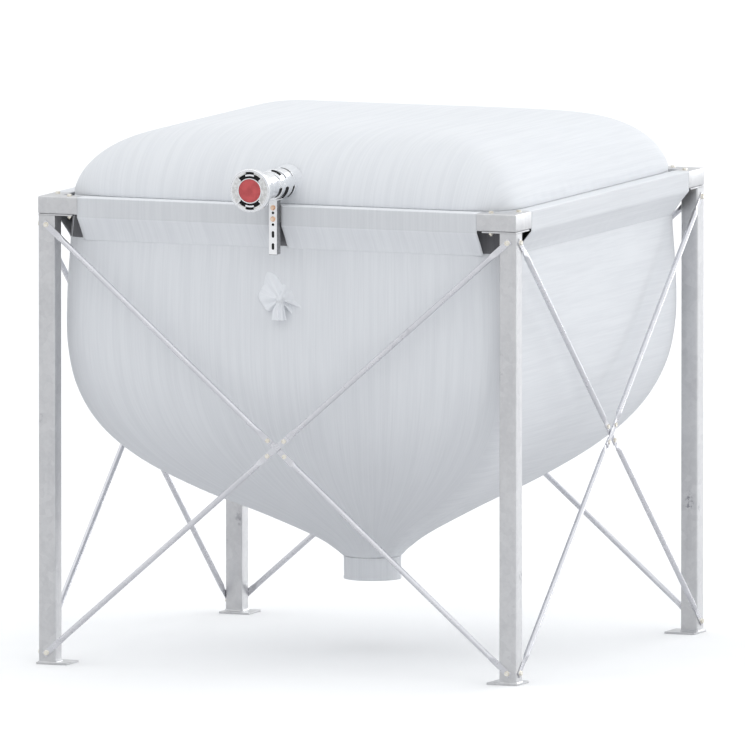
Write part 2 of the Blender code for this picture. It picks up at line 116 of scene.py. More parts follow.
def ease(t: float) -> float:
    """Smooth step from 0 to 1, flat beyond both ends."""
    t = min(max(t, 0.0), 1.0)
    return t * t * (3.0 - 2.0 * t)


def hump(t: float) -> float:
    """Bell shape of height 1 and half width about 1."""
    return math.exp(-t * t)


def smooth_profile(points: Sequence[Sequence[float]], steps: int) -> list[tuple[float, ...]]:
    """Runs a smooth curve through points of any length.

    Args:
        points: The points to pass through.
        steps: Steps between each pair of points.

    Returns:
        The points of the curve, the given ones among them.
    """
    curve = []
    for i in range(len(points) - 1):
        before = points[max(i - 1, 0)]
        start, end = points[i], points[i + 1]
        after = points[min(i + 2, len(points) - 1)]
        for k in range(steps):
            t = k / steps
            curve.append(tuple(
                0.5 * (2 * s + (e - b) * t + (2 * b - 5 * s + 4 * e - a) * t ** 2
                       + (3 * s - b - 3 * e + a) * t ** 3)
                for b, s, e, a in zip(before, start, end, after)))
    curve.append(tuple(points[-1]))
    return curve


def rounded_outline(width: float, height: float, radius: float, steps: int = 4) -> list[Flat]:
    """Rectangle with rounded corners, round the origin, with steps + 1 points in each corner."""
    outline = []
    for quarter in range(4):
        cx = (width / 2 - radius) * (1 if quarter in (0, 3) else -1)
        cy = (height / 2 - radius) * (1 if quarter in (0, 1) else -1)
        for k in range(steps + 1):
            a = math.radians(90 * quarter + 90 * k / steps)
            outline.append((cx + radius * math.cos(a), cy + radius * math.sin(a)))
    return outline


class Draft:
    """Points, faces and grain of one piece, gathered before its mesh is made."""

    def __init__(self) -> None:
        """Starts with nothing."""
        self.points: list[Point] = []
        self.faces: list[tuple[int, ...]] = []
        self.grain: list[Optional[Sequence[Flat]]] = []

    def rows(self, rows: Sequence[Sequence[Point]], closed: bool = False,
             grain: Optional[Sequence[Sequence[Flat]]] = None,
             skip: Optional[Callable[[int, int], bool]] = None,
             across: Optional[Callable[[int], bool]] = None) -> None:
        """Adds a sheet of quads through rows of points.

        Args:
            rows: Rows of equal length.
            closed: Whether each row joins its own start.
            grain: Distances along and across the cloth at each point, one column more if closed.
            skip: Says which quads are left out, by row and column.
            across: Says in which columns the grain runs across.
        """
        start, count = len(self.points), len(rows[0])
        for row in rows:
            self.points.extend(row)
        for i in range(len(rows) - 1):
            for k in range(count if closed else count - 1):
                if skip and skip(i, k):
                    continue
                j = (k + 1) % count
                low, high = start + i * count, start + (i + 1) * count
                self.faces.append((low + k, low + j, high + j, high + k))
                if grain is None:
                    self.grain.append(None)
                    continue
                spots = (grain[i][k], grain[i][k + 1], grain[i + 1][k + 1], grain[i + 1][k])
                if across and across(k):
                    spots = tuple((v, u) for u, v in spots)
                self.grain.append(spots)

    def lid(self, ring: Sequence[Point]) -> None:
        """Adds one flat face round a ring of points."""
        start = len(self.points)
        self.points.extend(ring)
        self.faces.append(tuple(range(start, start + len(ring))))
        self.grain.append(None)

    def loft(self, rings: Sequence[Sequence[Point]]) -> None:
        """Adds a solid through closed rings, with a lid at each end."""
        self.rows(rings, closed=True)
        self.lid(list(reversed(rings[0])))
        self.lid(rings[-1])

    def prism(self, outline: Sequence[Flat], low: float, high: float, chamfer: float = 0.0,
              place: Matrix = Matrix.Identity(4)) -> None:
        """Adds an outline in XY made solid between two heights.

        Args:
            outline: The outline, round the origin.
            low: Lower height.
            high: Upper height.
            chamfer: Cut off the edges of both ends.
            place: Where the solid goes.
        """
        levels = [(low, chamfer), (low + chamfer, 0.0), (high - chamfer, 0.0), (high, chamfer)]
        if not chamfer:
            levels = [(low, 0.0), (high, 0.0)]
        span = max(max(abs(x), abs(y)) for x, y in outline)
        rings = []
        for z, cut in levels:
            shrink = 1.0 - cut / span
            rings.append([(x * shrink, y * shrink, z) for x, y in outline])
        solid = Draft()
        solid.loft(rings)
        self.add(solid, place)

    def tube(self, outer: Sequence[Flat], inner: Sequence[Flat], low: float, high: float) -> None:
        """Adds a hollow section between two heights, from outlines of equal length."""
        loops = [[(x, y, z) for x, y in outline]
                 for outline, z in ((outer, low), (outer, high), (inner, high), (inner, low), (outer, low))]
        self.rows(loops, closed=True)

    def turned(self, profile: Sequence[Flat], steps: int = 64, start: float = 0.0,
               end: float = 360.0) -> None:
        """Turns a profile of (radius, height) pairs about Z.

        Args:
            profile: The section, its ends joined unless both lie on the axis.
            steps: Steps in the turn.
            start: First angle in degrees, from +X.
            end: Last angle in degrees. A part turn gets a lid at each end.
        """
        open_ends = profile[0][0] < 1e-9 and profile[-1][0] < 1e-9
        section = list(profile) if open_ends else [*profile, profile[0]]
        whole = end - start >= 360.0
        angles = [math.radians(start + (end - start) * k / steps) for k in range(steps + (not whole))]
        self.rows([[(r * math.cos(a), r * math.sin(a), z) for a in angles] for r, z in section], closed=whole)
        if not whole:
            for a, flip in ((angles[0], 1), (angles[-1], -1)):
                self.lid([(r * math.cos(a), r * math.sin(a), z) for r, z in list(profile)[::flip]])

    def ring(self, inner: float, outer: float, low: float, high: float, steps: int,
             start: float = 0.0, end: float = 360.0) -> None:
        """Adds a ring of square-cut section about Z, whole or part of the way round."""
        self.turned([(inner, low), (inner, high), (outer, high), (outer, low)], steps, start, end)

    def add(self, other: "Draft", place: Matrix = Matrix.Identity(4)) -> None:
        """Adds another draft's points and faces, moved by a placement."""
        start = len(self.points)
        self.points.extend(tuple(place @ Vector(point)) for point in other.points)
        self.faces.extend(tuple(start + index for index in face) for face in other.faces)
        self.grain.extend(other.grain)


def make(name: str, draft: Draft, finish: "Finish", place: Matrix = Matrix.Identity(4),
         edge: Edge = Edge.CRISP, cloth: float = 0.0) -> bpy.types.Object:
    """Makes a piece of the silo from a draft.

    Args:
        name: Name of the piece.
        draft: Its points and faces.
        finish: What it is made of.
        place: Where the draft goes.
        edge: How its edges are shaded.
        cloth: Thickness given to a sheet, inwards, in metres.

    Returns:
        The piece, riding on the silo's body.
    """
    mesh = bpy.data.meshes.new(name)
    mesh.from_pydata([tuple(place @ Vector(point)) for point in draft.points], [], draft.faces)
    layer = mesh.uv_layers.new(name="grain")
    spots = []
    for polygon, grain in zip(mesh.polygons, draft.grain):
        for spot in grain or [(0.0, 0.0)] * polygon.loop_total:
            spots.extend(spot)
    layer.data.foreach_set("uv", spots)
    work = bmesh.new()
    work.from_mesh(mesh)
    bmesh.ops.remove_doubles(work, verts=work.verts, dist=0.00002)
    bmesh.ops.recalc_face_normals(work, faces=work.faces)
    work.to_mesh(mesh)
    work.free()
    mesh.shade_smooth()
    if edge is Edge.CRISP:
        mesh.set_sharp_from_angle(angle=math.radians(edge.value))
    mesh.materials.append(finish.material())
    piece = bpy.data.objects.new(name, mesh)
    bpy.context.scene.collection.objects.link(piece)
    if cloth:
        shell = piece.modifiers.new("cloth", "SOLIDIFY")
        shell.thickness = cloth
        shell.offset = -1.0
        shell.use_even_offset = True
    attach(piece, "root")
    log.info("%s: %d points, %d faces", name, len(mesh.vertices), len(mesh.polygons))
    return piece


def closed_rows(levels: Iterable, around: int,
                spot: Callable[[tuple, float], tuple[Point, Flat]]) -> tuple[list, list]:
    """Lays out a sheet that closes on itself.

    Args:
        levels: What sets each row, handed on to spot.
        around: Points in a row.
        spot: Gives a point and its grain from a level and an angle in radians.

    Returns:
        The rows of points, and their grain, one column more.
    """
    rows, grain = [], []
    for level in levels:
        spots = [spot(level, 2 * math.pi * k / around) for k in range(around + 1)]
        rows.append([point for point, _ in spots[:-1]])
        grain.append([mark for _, mark in spots])
    return rows, grain


def make_sheet(name: str, rows: Sequence[Sequence[Point]], grain: Sequence[Sequence[Flat]],
               finish: "Finish", cloth: float, place: Optional[Matrix] = None,
               across: Optional[Callable[[int], bool]] = None) -> bpy.types.Object:
    """Makes a sheet of cloth that closes on itself.

    Args:
        name: Name of the piece.
        rows: Its rows of points.
        grain: Their grain, one column more.
        finish: What it is made of.
        cloth: Its thickness, inwards.
        place: Where it goes, in the frame's middle if left out.
        across: Says in which columns the grain runs across.

    Returns:
        The piece.
    """
    draft = Draft()
    draft.rows(rows, closed=True, grain=grain, across=across)
    return make(name, draft, finish, place or Side.FRONT.place(), Edge.SOFT, cloth)


class NodeSheet:
    """A node tree being laid out, with short calls for adding and wiring its nodes."""

    def __init__(self, tree: bpy.types.NodeTree) -> None:
        """Takes the tree to fill."""
        self.tree = tree

    def add(self, kind: str, inputs: Optional[dict] = None, **settings) -> bpy.types.Node:
        """Adds a node.

        Args:
            kind: Node type without its ShaderNode prefix.
            inputs: Values or sockets for its inputs, by name or number.
            **settings: Properties of the node.

        Returns:
            The node.
        """
        node = self.tree.nodes.new("ShaderNode" + kind)
        for key, value in settings.items():
            setattr(node, key, value)
        for key, value in (inputs or {}).items():
            self.feed(node.inputs[key], value)
        return node

    def feed(self, socket: bpy.types.NodeSocket, value: object) -> None:
        """Links a socket to another, or sets its value."""
        if isinstance(value, bpy.types.NodeSocket):
            self.tree.links.new(value, socket)
        elif isinstance(value, tuple) and len(value) == 3 and len(socket.default_value) == 4:
            socket.default_value = (*value, 1.0)
        else:
            socket.default_value = value

    def sum(self, operation: str, a: object, b: object = 0.0, c: object = 0.0) -> bpy.types.NodeSocket:
        """Adds a Math node and gives its result."""
        return self.add("Math", {0: a, 1: b, 2: c}, operation=operation).outputs[0]

    def span(self, value: object, low: float, high: float, out_low: float = 0.0,
             out_high: float = 1.0) -> bpy.types.NodeSocket:
        """Maps one range onto another, smoothly and held at both ends."""
        node = self.add("MapRange", {"Value": value, "From Min": low, "From Max": high, "To Min": out_low,
                                     "To Max": out_high}, interpolation_type="SMOOTHSTEP")
        return node.outputs["Result"]

    def blend(self, factor: object, a: object, b: object, how: str = "MIX") -> bpy.types.NodeSocket:
        """Mixes two colours."""
        node = self.add("Mix", {0: factor, 6: a, 7: b}, data_type="RGBA", blend_type=how)
        return node.outputs[2]

    def noise(self, vector: object, scale: object, detail: float = 2.0,
              rough: float = 0.5) -> bpy.types.NodeSocket:
        """Adds a noise texture and gives its value."""
        return self.add("TexNoise", {"Vector": vector, "Scale": scale, "Detail": detail,
                                     "Roughness": rough}).outputs[0]

    def along(self, way: object, axis: Point) -> bpy.types.NodeSocket:
        """How far a direction points along an axis."""
        return self.add("VectorMath", {0: way, 1: axis}, operation="DOT_PRODUCT").outputs["Value"]

    def scaled(self, vector: object, scale: Point) -> bpy.types.NodeSocket:
        """Stretches a vector along its axes."""
        return self.add("VectorMath", {0: vector, 1: scale}, operation="MULTIPLY").outputs[0]


def group_tree(name: str, inputs: Iterable[tuple], outputs: Iterable[tuple]) -> tuple:
    """Starts a node group with named sockets.

    Args:
        name: Name of the group.
        inputs: Name, socket kind and default of each input.
        outputs: Name and socket kind of each output.

    Returns:
        The group, its sheet, its input node and its output node.
    """
    tree = bpy.data.node_groups.new(name, "ShaderNodeTree")
    for label, kind, default in inputs:
        socket = tree.interface.new_socket(label, in_out="INPUT", socket_type="NodeSocket" + kind)
        if default is not None:
            socket.default_value = default
    for label, kind in outputs:
        tree.interface.new_socket(label, in_out="OUTPUT", socket_type="NodeSocket" + kind)
    sheet = NodeSheet(tree)
    return tree, sheet, tree.nodes.new("NodeGroupInput"), tree.nodes.new("NodeGroupOutput")


class Effects:
    """Node groups that more than one material uses, each built once."""

    made: dict[str, bpy.types.NodeTree] = {}

    @classmethod
    def get(cls, name: str) -> bpy.types.NodeTree:
        """Gives the named group, built when it is first asked for."""
        if name not in cls.made:
            cls.made[name] = getattr(cls, name)()
        return cls.made[name]

    @staticmethod
    def cloth_grain() -> bpy.types.NodeTree:
        """Coated woven cloth: streaks along the warp, slubs and a fine weave.

        Returns:
            Group with Shade and Height outputs.
        """
        tree, sheet, source, result = group_tree(
            "cloth_grain",
            [("Grain", "Vector", None), ("Streak Width", "Float", 0.03), ("Weave", "Float", 0.002)],
            [("Shade", "Float"), ("Height", "Float")])
        grain = source.outputs["Grain"]
        wide = sheet.sum("DIVIDE", 1.0, source.outputs["Streak Width"])
        coarse = sheet.noise(sheet.scaled(grain, (1.0, 0.035, 1.0)), wide, 1.0)
        fine = sheet.noise(sheet.scaled(grain, (3.6, 0.09, 1.0)), wide, 2.0, 0.6)
        cloud = sheet.noise(grain, 2.3, 2.0)
        shade = sheet.sum("MULTIPLY_ADD", fine, 0.45, sheet.sum("MULTIPLY", coarse, 0.40))
        shade = sheet.sum("MULTIPLY_ADD", cloud, 0.15, shade)
        pitch = sheet.sum("DIVIDE", 6.28318, source.outputs["Weave"])
        parts = sheet.add("SeparateXYZ", {0: grain})
        warp = sheet.sum("SINE", sheet.sum("MULTIPLY", parts.outputs[0], pitch))
        weft = sheet.sum("SINE", sheet.sum("MULTIPLY", parts.outputs[1], pitch))
        weave = sheet.sum("MULTIPLY", warp, weft)
        sheet.feed(result.inputs["Shade"], shade)
        sheet.feed(result.inputs["Height"], sheet.sum("MULTIPLY_ADD", weave, 0.05, shade))
        return tree

    @staticmethod
    def zinc_bloom() -> bpy.types.NodeTree:
        """Hot dip galvanising: crystal patches, drain marks and grey stains.

        Returns:
            Group with Shade, Stain and Height outputs.
        """
        tree, sheet, source, result = group_tree(
            "zinc_bloom",
            [("Place", "Vector", None), ("Patch", "Float", 60.0), ("Stain Cover", "Float", 1.0)],
            [("Shade", "Float"), ("Stain", "Float"), ("Height", "Float")])
        place = source.outputs["Place"]
        wobble = sheet.add("TexNoise", {"Vector": place, "Scale": 30.0, "Detail": 2.0})
        moved = sheet.add("VectorMath", {0: wobble.outputs[1], 1: (0.02, 0.02, 0.02), 2: place},
                          operation="MULTIPLY_ADD").outputs[0]
        patch = sheet.add("TexVoronoi", {"Vector": moved, "Scale": source.outputs["Patch"]}, feature="F1")
        tone = sheet.add("SeparateColor", {0: patch.outputs["Color"]}).outputs[0]
        cloud = sheet.noise(place, 6.0, 4.0, 0.55)
        shade = sheet.sum("MULTIPLY_ADD", tone, 0.22, sheet.sum("MULTIPLY", cloud, 0.78))
        spot = sheet.noise(sheet.scaled(place, (1.0, 1.0, 0.8)), 7.0, 2.0, 0.5)
        speck = sheet.noise(place, 75.0, 5.0, 0.75)
        where = sheet.sum("MULTIPLY", sheet.span(spot, 0.66, 0.76), sheet.span(speck, 0.46, 0.60))
        film = sheet.span(sheet.noise(sheet.scaled(place, (16.0, 16.0, 2.0)), 1.0, 4.0, 0.6), 0.52, 0.80)
        stain = sheet.sum("MULTIPLY_ADD", film, 0.22, where)
        stain = sheet.sum("MULTIPLY", stain, source.outputs["Stain Cover"])
        height = sheet.sum("MULTIPLY_ADD", speck, 0.4, sheet.sum("MULTIPLY", tone, 0.1))
        sheet.feed(result.inputs["Shade"], shade)
        sheet.feed(result.inputs["Stain"], sheet.add("Clamp", {0: stain}).outputs[0])
        sheet.feed(result.inputs["Height"], height)
        return tree

    @staticmethod
    def settled_dust() -> bpy.types.NodeTree:
        """Dust on faces that look up, broken up by noise.

        Returns:
            Group with a Mask output.
        """
        tree, sheet, source, result = group_tree(
            "settled_dust", [("Place", "Vector", None), ("Cover", "Float", 0.5)], [("Mask", "Float")])
        normal = sheet.add("NewGeometry").outputs["Normal"]
        up = sheet.add("SeparateXYZ", {0: normal}).outputs[2]
        facing = sheet.span(up, 0.55, 0.98)
        patch = sheet.span(sheet.noise(source.outputs["Place"], 14.0, 4.0, 0.65), 0.38, 0.68)
        mask = sheet.sum("MULTIPLY", sheet.sum("MULTIPLY", facing, patch), source.outputs["Cover"])
        sheet.feed(result.inputs["Mask"], mask)
        return tree

    @staticmethod
    def handled_edges() -> bpy.types.NodeTree:
        """Edges rubbed bright, from how sharply the surface turns.

        Returns:
            Group with a Mask output.
        """
        tree, sheet, source, result = group_tree(
            "handled_edges", [("Place", "Vector", None), ("Wear", "Float", 0.5)], [("Mask", "Float")])
        turn = sheet.add("NewGeometry").outputs["Pointiness"]
        ridge = sheet.span(turn, 0.52, 0.60)
        chips = sheet.span(sheet.noise(source.outputs["Place"], 70.0, 3.0, 0.6), 0.35, 0.65)
        mask = sheet.sum("MULTIPLY", sheet.sum("MULTIPLY", ridge, chips), source.outputs["Wear"])
        sheet.feed(result.inputs["Mask"], mask)
        return tree


@dataclass(frozen=True)
class Finish:
    """What a piece is made of: its material's name and the slot it comes from."""

    name: str
    slot: str

    def material(self) -> bpy.types.Material:
        """Gives the finish's material, built when it is first asked for."""
        if self.name in bpy.data.materials:
            return bpy.data.materials[self.name]
        material = bpy.data.materials.new(self.name)
        material.use_nodes = True
        sheet = NodeSheet(material.node_tree)
        self.dress(sheet, material.node_tree.nodes["Principled BSDF"])
        return material

    def dress(self, sheet: NodeSheet, shader: bpy.types.Node) -> None:
        """Wires the finish's nodes to its shader."""
        raise NotImplementedError

    def effect(self, sheet: NodeSheet, name: str, inputs: dict) -> bpy.types.Node:
        """Places a shared node group with this finish's own values."""
        node = sheet.add("Group", node_tree=Effects.get(name))
        for key, value in inputs.items():
            sheet.feed(node.inputs[key], value)
        return node

    def over(self, sheet: NodeSheet, colour: bpy.types.NodeSocket, name: str, tint: Colour,
             inputs: dict) -> bpy.types.NodeSocket:
        """Lays a tint over a colour where a shared node group's mask says."""
        return sheet.blend(self.effect(sheet, name, inputs).outputs["Mask"], colour, tint)

    def bump(self, sheet: NodeSheet, shader: bpy.types.Node, height: object, strength: float,
             distance: float) -> None:
        """Feeds a height into the shader's normal."""
        node = sheet.add("Bump", {"Height": height, "Strength": strength, "Distance": distance})
        sheet.feed(shader.inputs["Normal"], node.outputs[0])


@dataclass(frozen=True)
class WovenCloth(Finish):
    """Coated antistatic cloth, pale grey with fine streaks along its warp."""

    name: str = "woven_cloth"
    slot: str = "woven_fabric"
    pale: Colour = (0.748, 0.764, 0.788)
    deep: Colour = (0.704, 0.720, 0.746)
    dusty: Colour = (0.76, 0.76, 0.75)
    streak: float = 0.024
    weave: float = 0.0024
    dust: float = 0.10

    def dress(self, sheet: NodeSheet, shader: bpy.types.Node) -> None:
        """Wires streaks, weave and dust."""
        place = sheet.add("TexCoord").outputs["Object"]
        grain = sheet.add("UVMap", uv_map="grain").outputs[0]
        cloth = self.effect(sheet, "cloth_grain", {"Grain": grain, "Streak Width": self.streak,
                                                   "Weave": self.weave})
        shade = sheet.span(cloth.outputs["Shade"], 0.36, 0.64)
        colour = sheet.blend(shade, self.deep, self.pale)
        colour = self.over(sheet, colour, "settled_dust", self.dusty, {"Place": place, "Cover": self.dust})
        sheet.feed(shader.inputs["Base Color"], self.tone(sheet, colour))
        rough = sheet.span(cloth.outputs["Shade"], 0.3, 0.7, 0.78, 0.62)
        sheet.feed(shader.inputs["Roughness"], rough)
        shader.inputs["Sheen Weight"].default_value = 0.12
        shader.inputs["Sheen Roughness"].default_value = 0.5
        shader.inputs["Specular IOR Level"].default_value = 0.35
        self.bump(sheet, shader, cloth.outputs["Height"], 0.15, 0.0010)

    def tone(self, sheet: NodeSheet, colour: bpy.types.NodeSocket) -> bpy.types.NodeSocket:
        """Leaves the colour as it is; the pocket and sleeve cloths paint light and shade into it here."""
        return colour

    def paint_light_and_shade(self, sheet: NodeSheet, colour: bpy.types.NodeSocket, where: bpy.types.NodeSocket,
              plain: float, changed: float) -> bpy.types.NodeSocket:
        """Multiplies a colour by one number outside a mask and by another inside it, which paints light where
        a number is above 1 and shade where it is below.
        """
        return sheet.blend(1.0, colour, sheet.blend(where, (plain,) * 3, (changed,) * 3), "MULTIPLY")


@dataclass(frozen=True)
class PocketCloth(WovenCloth):
    """The same cloth pulled over a rail, with painted shade making it greyer where it lies flat on the
    steel's face, and painted light on the flap under it.
    """

    name: str = "pocket_cloth"
    # Colour factors: painted shade on the face, painted light on the flap.
    face_painted_shade: float = 0.97
    flap_painted_light: float = 1.0
    crease: float = FRAME_TOP - POCKET_DROP
    crease_blur: float = 0.0015
    top: float = FRAME_TOP - 0.0035
    top_blur: float = 0.001

    def tone(self, sheet: NodeSheet, colour: bpy.types.NodeSocket) -> bpy.types.NodeSocket:
        """Paints shade on the face, so it is greyer than the flap under it and the strip on top, and paints
        light on the flap.
        """
        height = sheet.add("SeparateXYZ", {0: sheet.add("TexCoord").outputs["Object"]}).outputs[2]
        above = sheet.span(height, self.crease - self.crease_blur, self.crease + self.crease_blur)
        below = sheet.span(height, self.top - self.top_blur, self.top + self.top_blur, 1.0, 0.0)
        # Mask of the face, where shade is painted.
        face = sheet.sum("MULTIPLY", above, below)
        return self.paint_light_and_shade(sheet, colour, face, self.flap_painted_light, self.face_painted_shade)


@dataclass(frozen=True)
class GatheredCloth(WovenCloth):
    """The sleeve's cloth, with painted light making the bulge beside the knot paler than the folds that run
    into the wall.
    """

    name: str = "gathered_cloth"
    # Colour factor of the painted light, and the share of it on the skirt.
    bulge_painted_light: float = 1.12
    skirt_light_share: float = 0.6
    knot_x: float = 0.006
    knot_z: float = 1.452
    blur_x: float = 0.012
    blur_z: float = 0.02

    def tone(self, sheet: NodeSheet, colour: bpy.types.NodeSocket) -> bpy.types.NodeSocket:
        """Paints light on the bulge left of the knot, and more faintly on the skirt."""
        parts = sheet.add("SeparateXYZ", {0: sheet.add("TexCoord").outputs["Object"]})
        left = sheet.span(parts.outputs[0], self.knot_x, self.knot_x + self.blur_x, 1.0, 0.0)
        skirt = sheet.span(parts.outputs[2], self.knot_z - self.blur_z, self.knot_z, 1.0, 0.0)
        # Mask of the painted light on the bulge and the skirt.
        pale = sheet.sum("MAXIMUM", left, sheet.sum("MULTIPLY", skirt, self.skirt_light_share))
        return self.paint_light_and_shade(sheet, colour, pale, 1.0, self.bulge_painted_light)


@dataclass(frozen=True)
class GalvanisedSteel(Finish):
    """Hot dip galvanised steel: dull, faintly clouded, with sparse dark smudges."""

    name: str = "galvanised_tube"
    slot: str = "galvanised_steel"
    pale: Colour = (0.665, 0.665, 0.672)
    deep: Colour = (0.60, 0.60, 0.61)
    stained: Colour = (0.27, 0.27, 0.30)
    rubbed: Colour = (0.90, 0.90, 0.90)
    dusty: Colour = (0.66, 0.65, 0.63)
    patch: float = 38.0
    stain: float = 0.9
    wear: float = 0.08
    dull: float = 0.42
    bright: float = 0.36
    metal: float = 0.92

    def dress(self, sheet: NodeSheet, shader: bpy.types.Node) -> None:
        """Wires clouds, smudges, rubbed edges and dust."""
        place = sheet.add("TexCoord").outputs["Object"]
        zinc = self.effect(sheet, "zinc_bloom", {"Place": place, "Patch": self.patch,
                                                 "Stain Cover": self.stain})
        colour = sheet.blend(sheet.span(zinc.outputs["Shade"], 0.30, 0.70), self.deep, self.pale)
        colour = sheet.blend(zinc.outputs["Stain"], colour, self.stained)
        colour = self.over(sheet, colour, "handled_edges", self.rubbed,
                           {"Place": place, "Wear": self.wear})
        dust = self.effect(sheet, "settled_dust", {"Place": place, "Cover": 0.05})
        colour = sheet.blend(dust.outputs["Mask"], colour, self.dusty)
        sheet.feed(shader.inputs["Base Color"], colour)
        rough = sheet.span(zinc.outputs["Shade"], 0.25, 0.75, self.dull, self.bright)
        rough = sheet.sum("MULTIPLY_ADD", zinc.outputs["Stain"], 0.20, rough)
        sheet.feed(shader.inputs["Roughness"], rough)
        metal = sheet.sum("MULTIPLY_ADD", dust.outputs["Mask"], -0.3, self.metal)
        sheet.feed(shader.inputs["Metallic"], metal)
        self.bump(sheet, shader, zinc.outputs["Height"], 0.06, 0.0005)


@dataclass(frozen=True)
class PolishedAluminium(Finish):
    """Turned and polished aluminium, with fine turning marks and handling scratches."""

    name: str = "polished_aluminium"
    slot: str = "aluminium"
    pale: Colour = (0.94, 0.945, 0.955)
    deep: Colour = (0.84, 0.85, 0.87)
    rubbed: Colour = (0.97, 0.97, 0.97)
    rough_low: float = 0.10
    rough_high: float = 0.24
    metal: float = 1.0
    wear: float = 0.6

    def dress(self, sheet: NodeSheet, shader: bpy.types.Node) -> None:
        """Wires turning marks, smears and rubbed edges."""
        place = sheet.add("TexCoord").outputs["Object"]
        marks = sheet.noise(sheet.scaled(place, (6.0, 600.0, 6.0)), 1.0, 2.0)
        smear = sheet.noise(place, 24.0, 4.0, 0.6)
        shade = sheet.sum("MULTIPLY_ADD", marks, 0.4, sheet.sum("MULTIPLY", smear, 0.6))
        colour = sheet.blend(sheet.span(shade, 0.3, 0.7), self.deep, self.pale)
        colour = self.over(sheet, colour, "handled_edges", self.rubbed,
                           {"Place": place, "Wear": self.wear * self.metal})
        sheet.feed(shader.inputs["Base Color"], colour)
        sheet.feed(shader.inputs["Roughness"], sheet.span(smear, 0.3, 0.7, self.rough_low, self.rough_high))
        shader.inputs["Metallic"].default_value = self.metal
        self.bump(sheet, shader, marks, 0.12, 0.0003)


@dataclass(frozen=True)
class ZincBolt(Finish):
    """Yellow passivated zinc on small fasteners."""

    name: str = "yellow_zinc"
    slot: str = "zinc_bolts"
    pale: Colour = (0.95, 0.92, 0.85)
    deep: Colour = (0.80, 0.75, 0.64)
    dull: Colour = (0.48, 0.46, 0.42)
    rubbed: Colour = (0.92, 0.88, 0.78)

    def dress(self, sheet: NodeSheet, shader: bpy.types.Node) -> None:
        """Wires the tint's drift and dull spots."""
        place = sheet.add("TexCoord").outputs["Object"]
        drift = sheet.noise(place, 60.0, 3.0)
        colour = sheet.blend(sheet.span(drift, 0.35, 0.65), self.deep, self.pale)
        zinc = self.effect(sheet, "zinc_bloom", {"Place": place, "Patch": 240.0, "Stain Cover": 0.6})
        colour = sheet.blend(sheet.sum("MULTIPLY", zinc.outputs["Stain"], 0.5), colour, self.dull)
        colour = self.over(sheet, colour, "handled_edges", self.rubbed, {"Place": place, "Wear": 0.8})
        sheet.feed(shader.inputs["Base Color"], colour)
        sheet.feed(shader.inputs["Roughness"], sheet.span(drift, 0.3, 0.7, 0.24, 0.40))
        shader.inputs["Metallic"].default_value = 1.0
        self.bump(sheet, shader, zinc.outputs["Height"], 0.15, 0.0003)


@dataclass(frozen=True)
class RedPlastic(Finish):
    """Moulded red plastic of the cap's disc."""

    name: str = "red_plastic_finish"
    slot: str = "red_plastic"
    pale: Colour = (0.56, 0.085, 0.09)
    deep: Colour = (0.44, 0.06, 0.065)
    dusty: Colour = (0.55, 0.40, 0.38)

    def dress(self, sheet: NodeSheet, shader: bpy.types.Node) -> None:
        """Wires moulding flow, grain and dust."""
        place = sheet.add("TexCoord").outputs["Object"]
        flow = sheet.noise(place, 40.0, 3.0)
        colour = sheet.blend(sheet.span(flow, 0.3, 0.7), self.deep, self.pale)
        colour = self.over(sheet, colour, "settled_dust", self.dusty, {"Place": place, "Cover": 0.3})
        sheet.feed(shader.inputs["Base Color"], colour)
        sheet.feed(shader.inputs["Roughness"], sheet.span(flow, 0.3, 0.7, 0.38, 0.50))
        self.bump(sheet, shader, sheet.noise(place, 900.0, 2.0), 0.10, 0.0002)


CLOTH = WovenCloth()
# Near-black cloth that paints the shade behind the flaps.
SHADE_BAND_CLOTH = WovenCloth(name="painted_shade_cloth", pale=(0.165, 0.165, 0.175), deep=(0.135, 0.135, 0.145),
                       dusty=(0.20, 0.20, 0.20), streak=0.006)
SLEEVE_CLOTH = GatheredCloth()
POCKET = PocketCloth()
# The front pocket has deeper painted shade on its face and painted light on its flap.
FRONT_POCKET = PocketCloth(name="front_pocket_cloth", face_painted_shade=0.885, flap_painted_light=1.06)
STEEL = GalvanisedSteel()
BAR = GalvanisedSteel(name="galvanised_bar", pale=(0.75, 0.75, 0.78), deep=(0.69, 0.69, 0.72), patch=60.0,
                      stain=0.25, dull=0.34, bright=0.24)
BRIGHT_ZINC = GalvanisedSteel(name="bright_zinc_plate", pale=(0.97, 0.97, 0.975), deep=(0.91, 0.91, 0.92),
                              stain=0.3, patch=90.0, dull=0.5, bright=0.4, metal=0.35)
ALUMINIUM = PolishedAluminium()
BRUSHED = PolishedAluminium(name="brushed_aluminium", pale=(0.72, 0.715, 0.70), deep=(0.56, 0.56, 0.55),
                            rough_low=0.34, rough_high=0.48)
DEEP_SHADE = PolishedAluminium(name="unlit_bore", slot="galvanised_steel", pale=(0.010, 0.010, 0.011),
                               deep=(0.004, 0.004, 0.005), rough_low=0.7, rough_high=0.9, metal=0.0)
# A darker copy of the galvanised finish that paints shade on the bracket's flanges.
SHADED_FLANGE = GalvanisedSteel(name="bracket_flange_shaded_zinc", pale=(0.36, 0.36, 0.37), deep=(0.26, 0.26, 0.27),
                         stain=0.5, patch=90.0)
BOLT_ZINC = ZincBolt()
BRACKET_ZINC = ZincBolt(name="orange_zinc", pale=(0.88, 0.60, 0.42), deep=(0.66, 0.38, 0.24))
RED = RedPlastic()


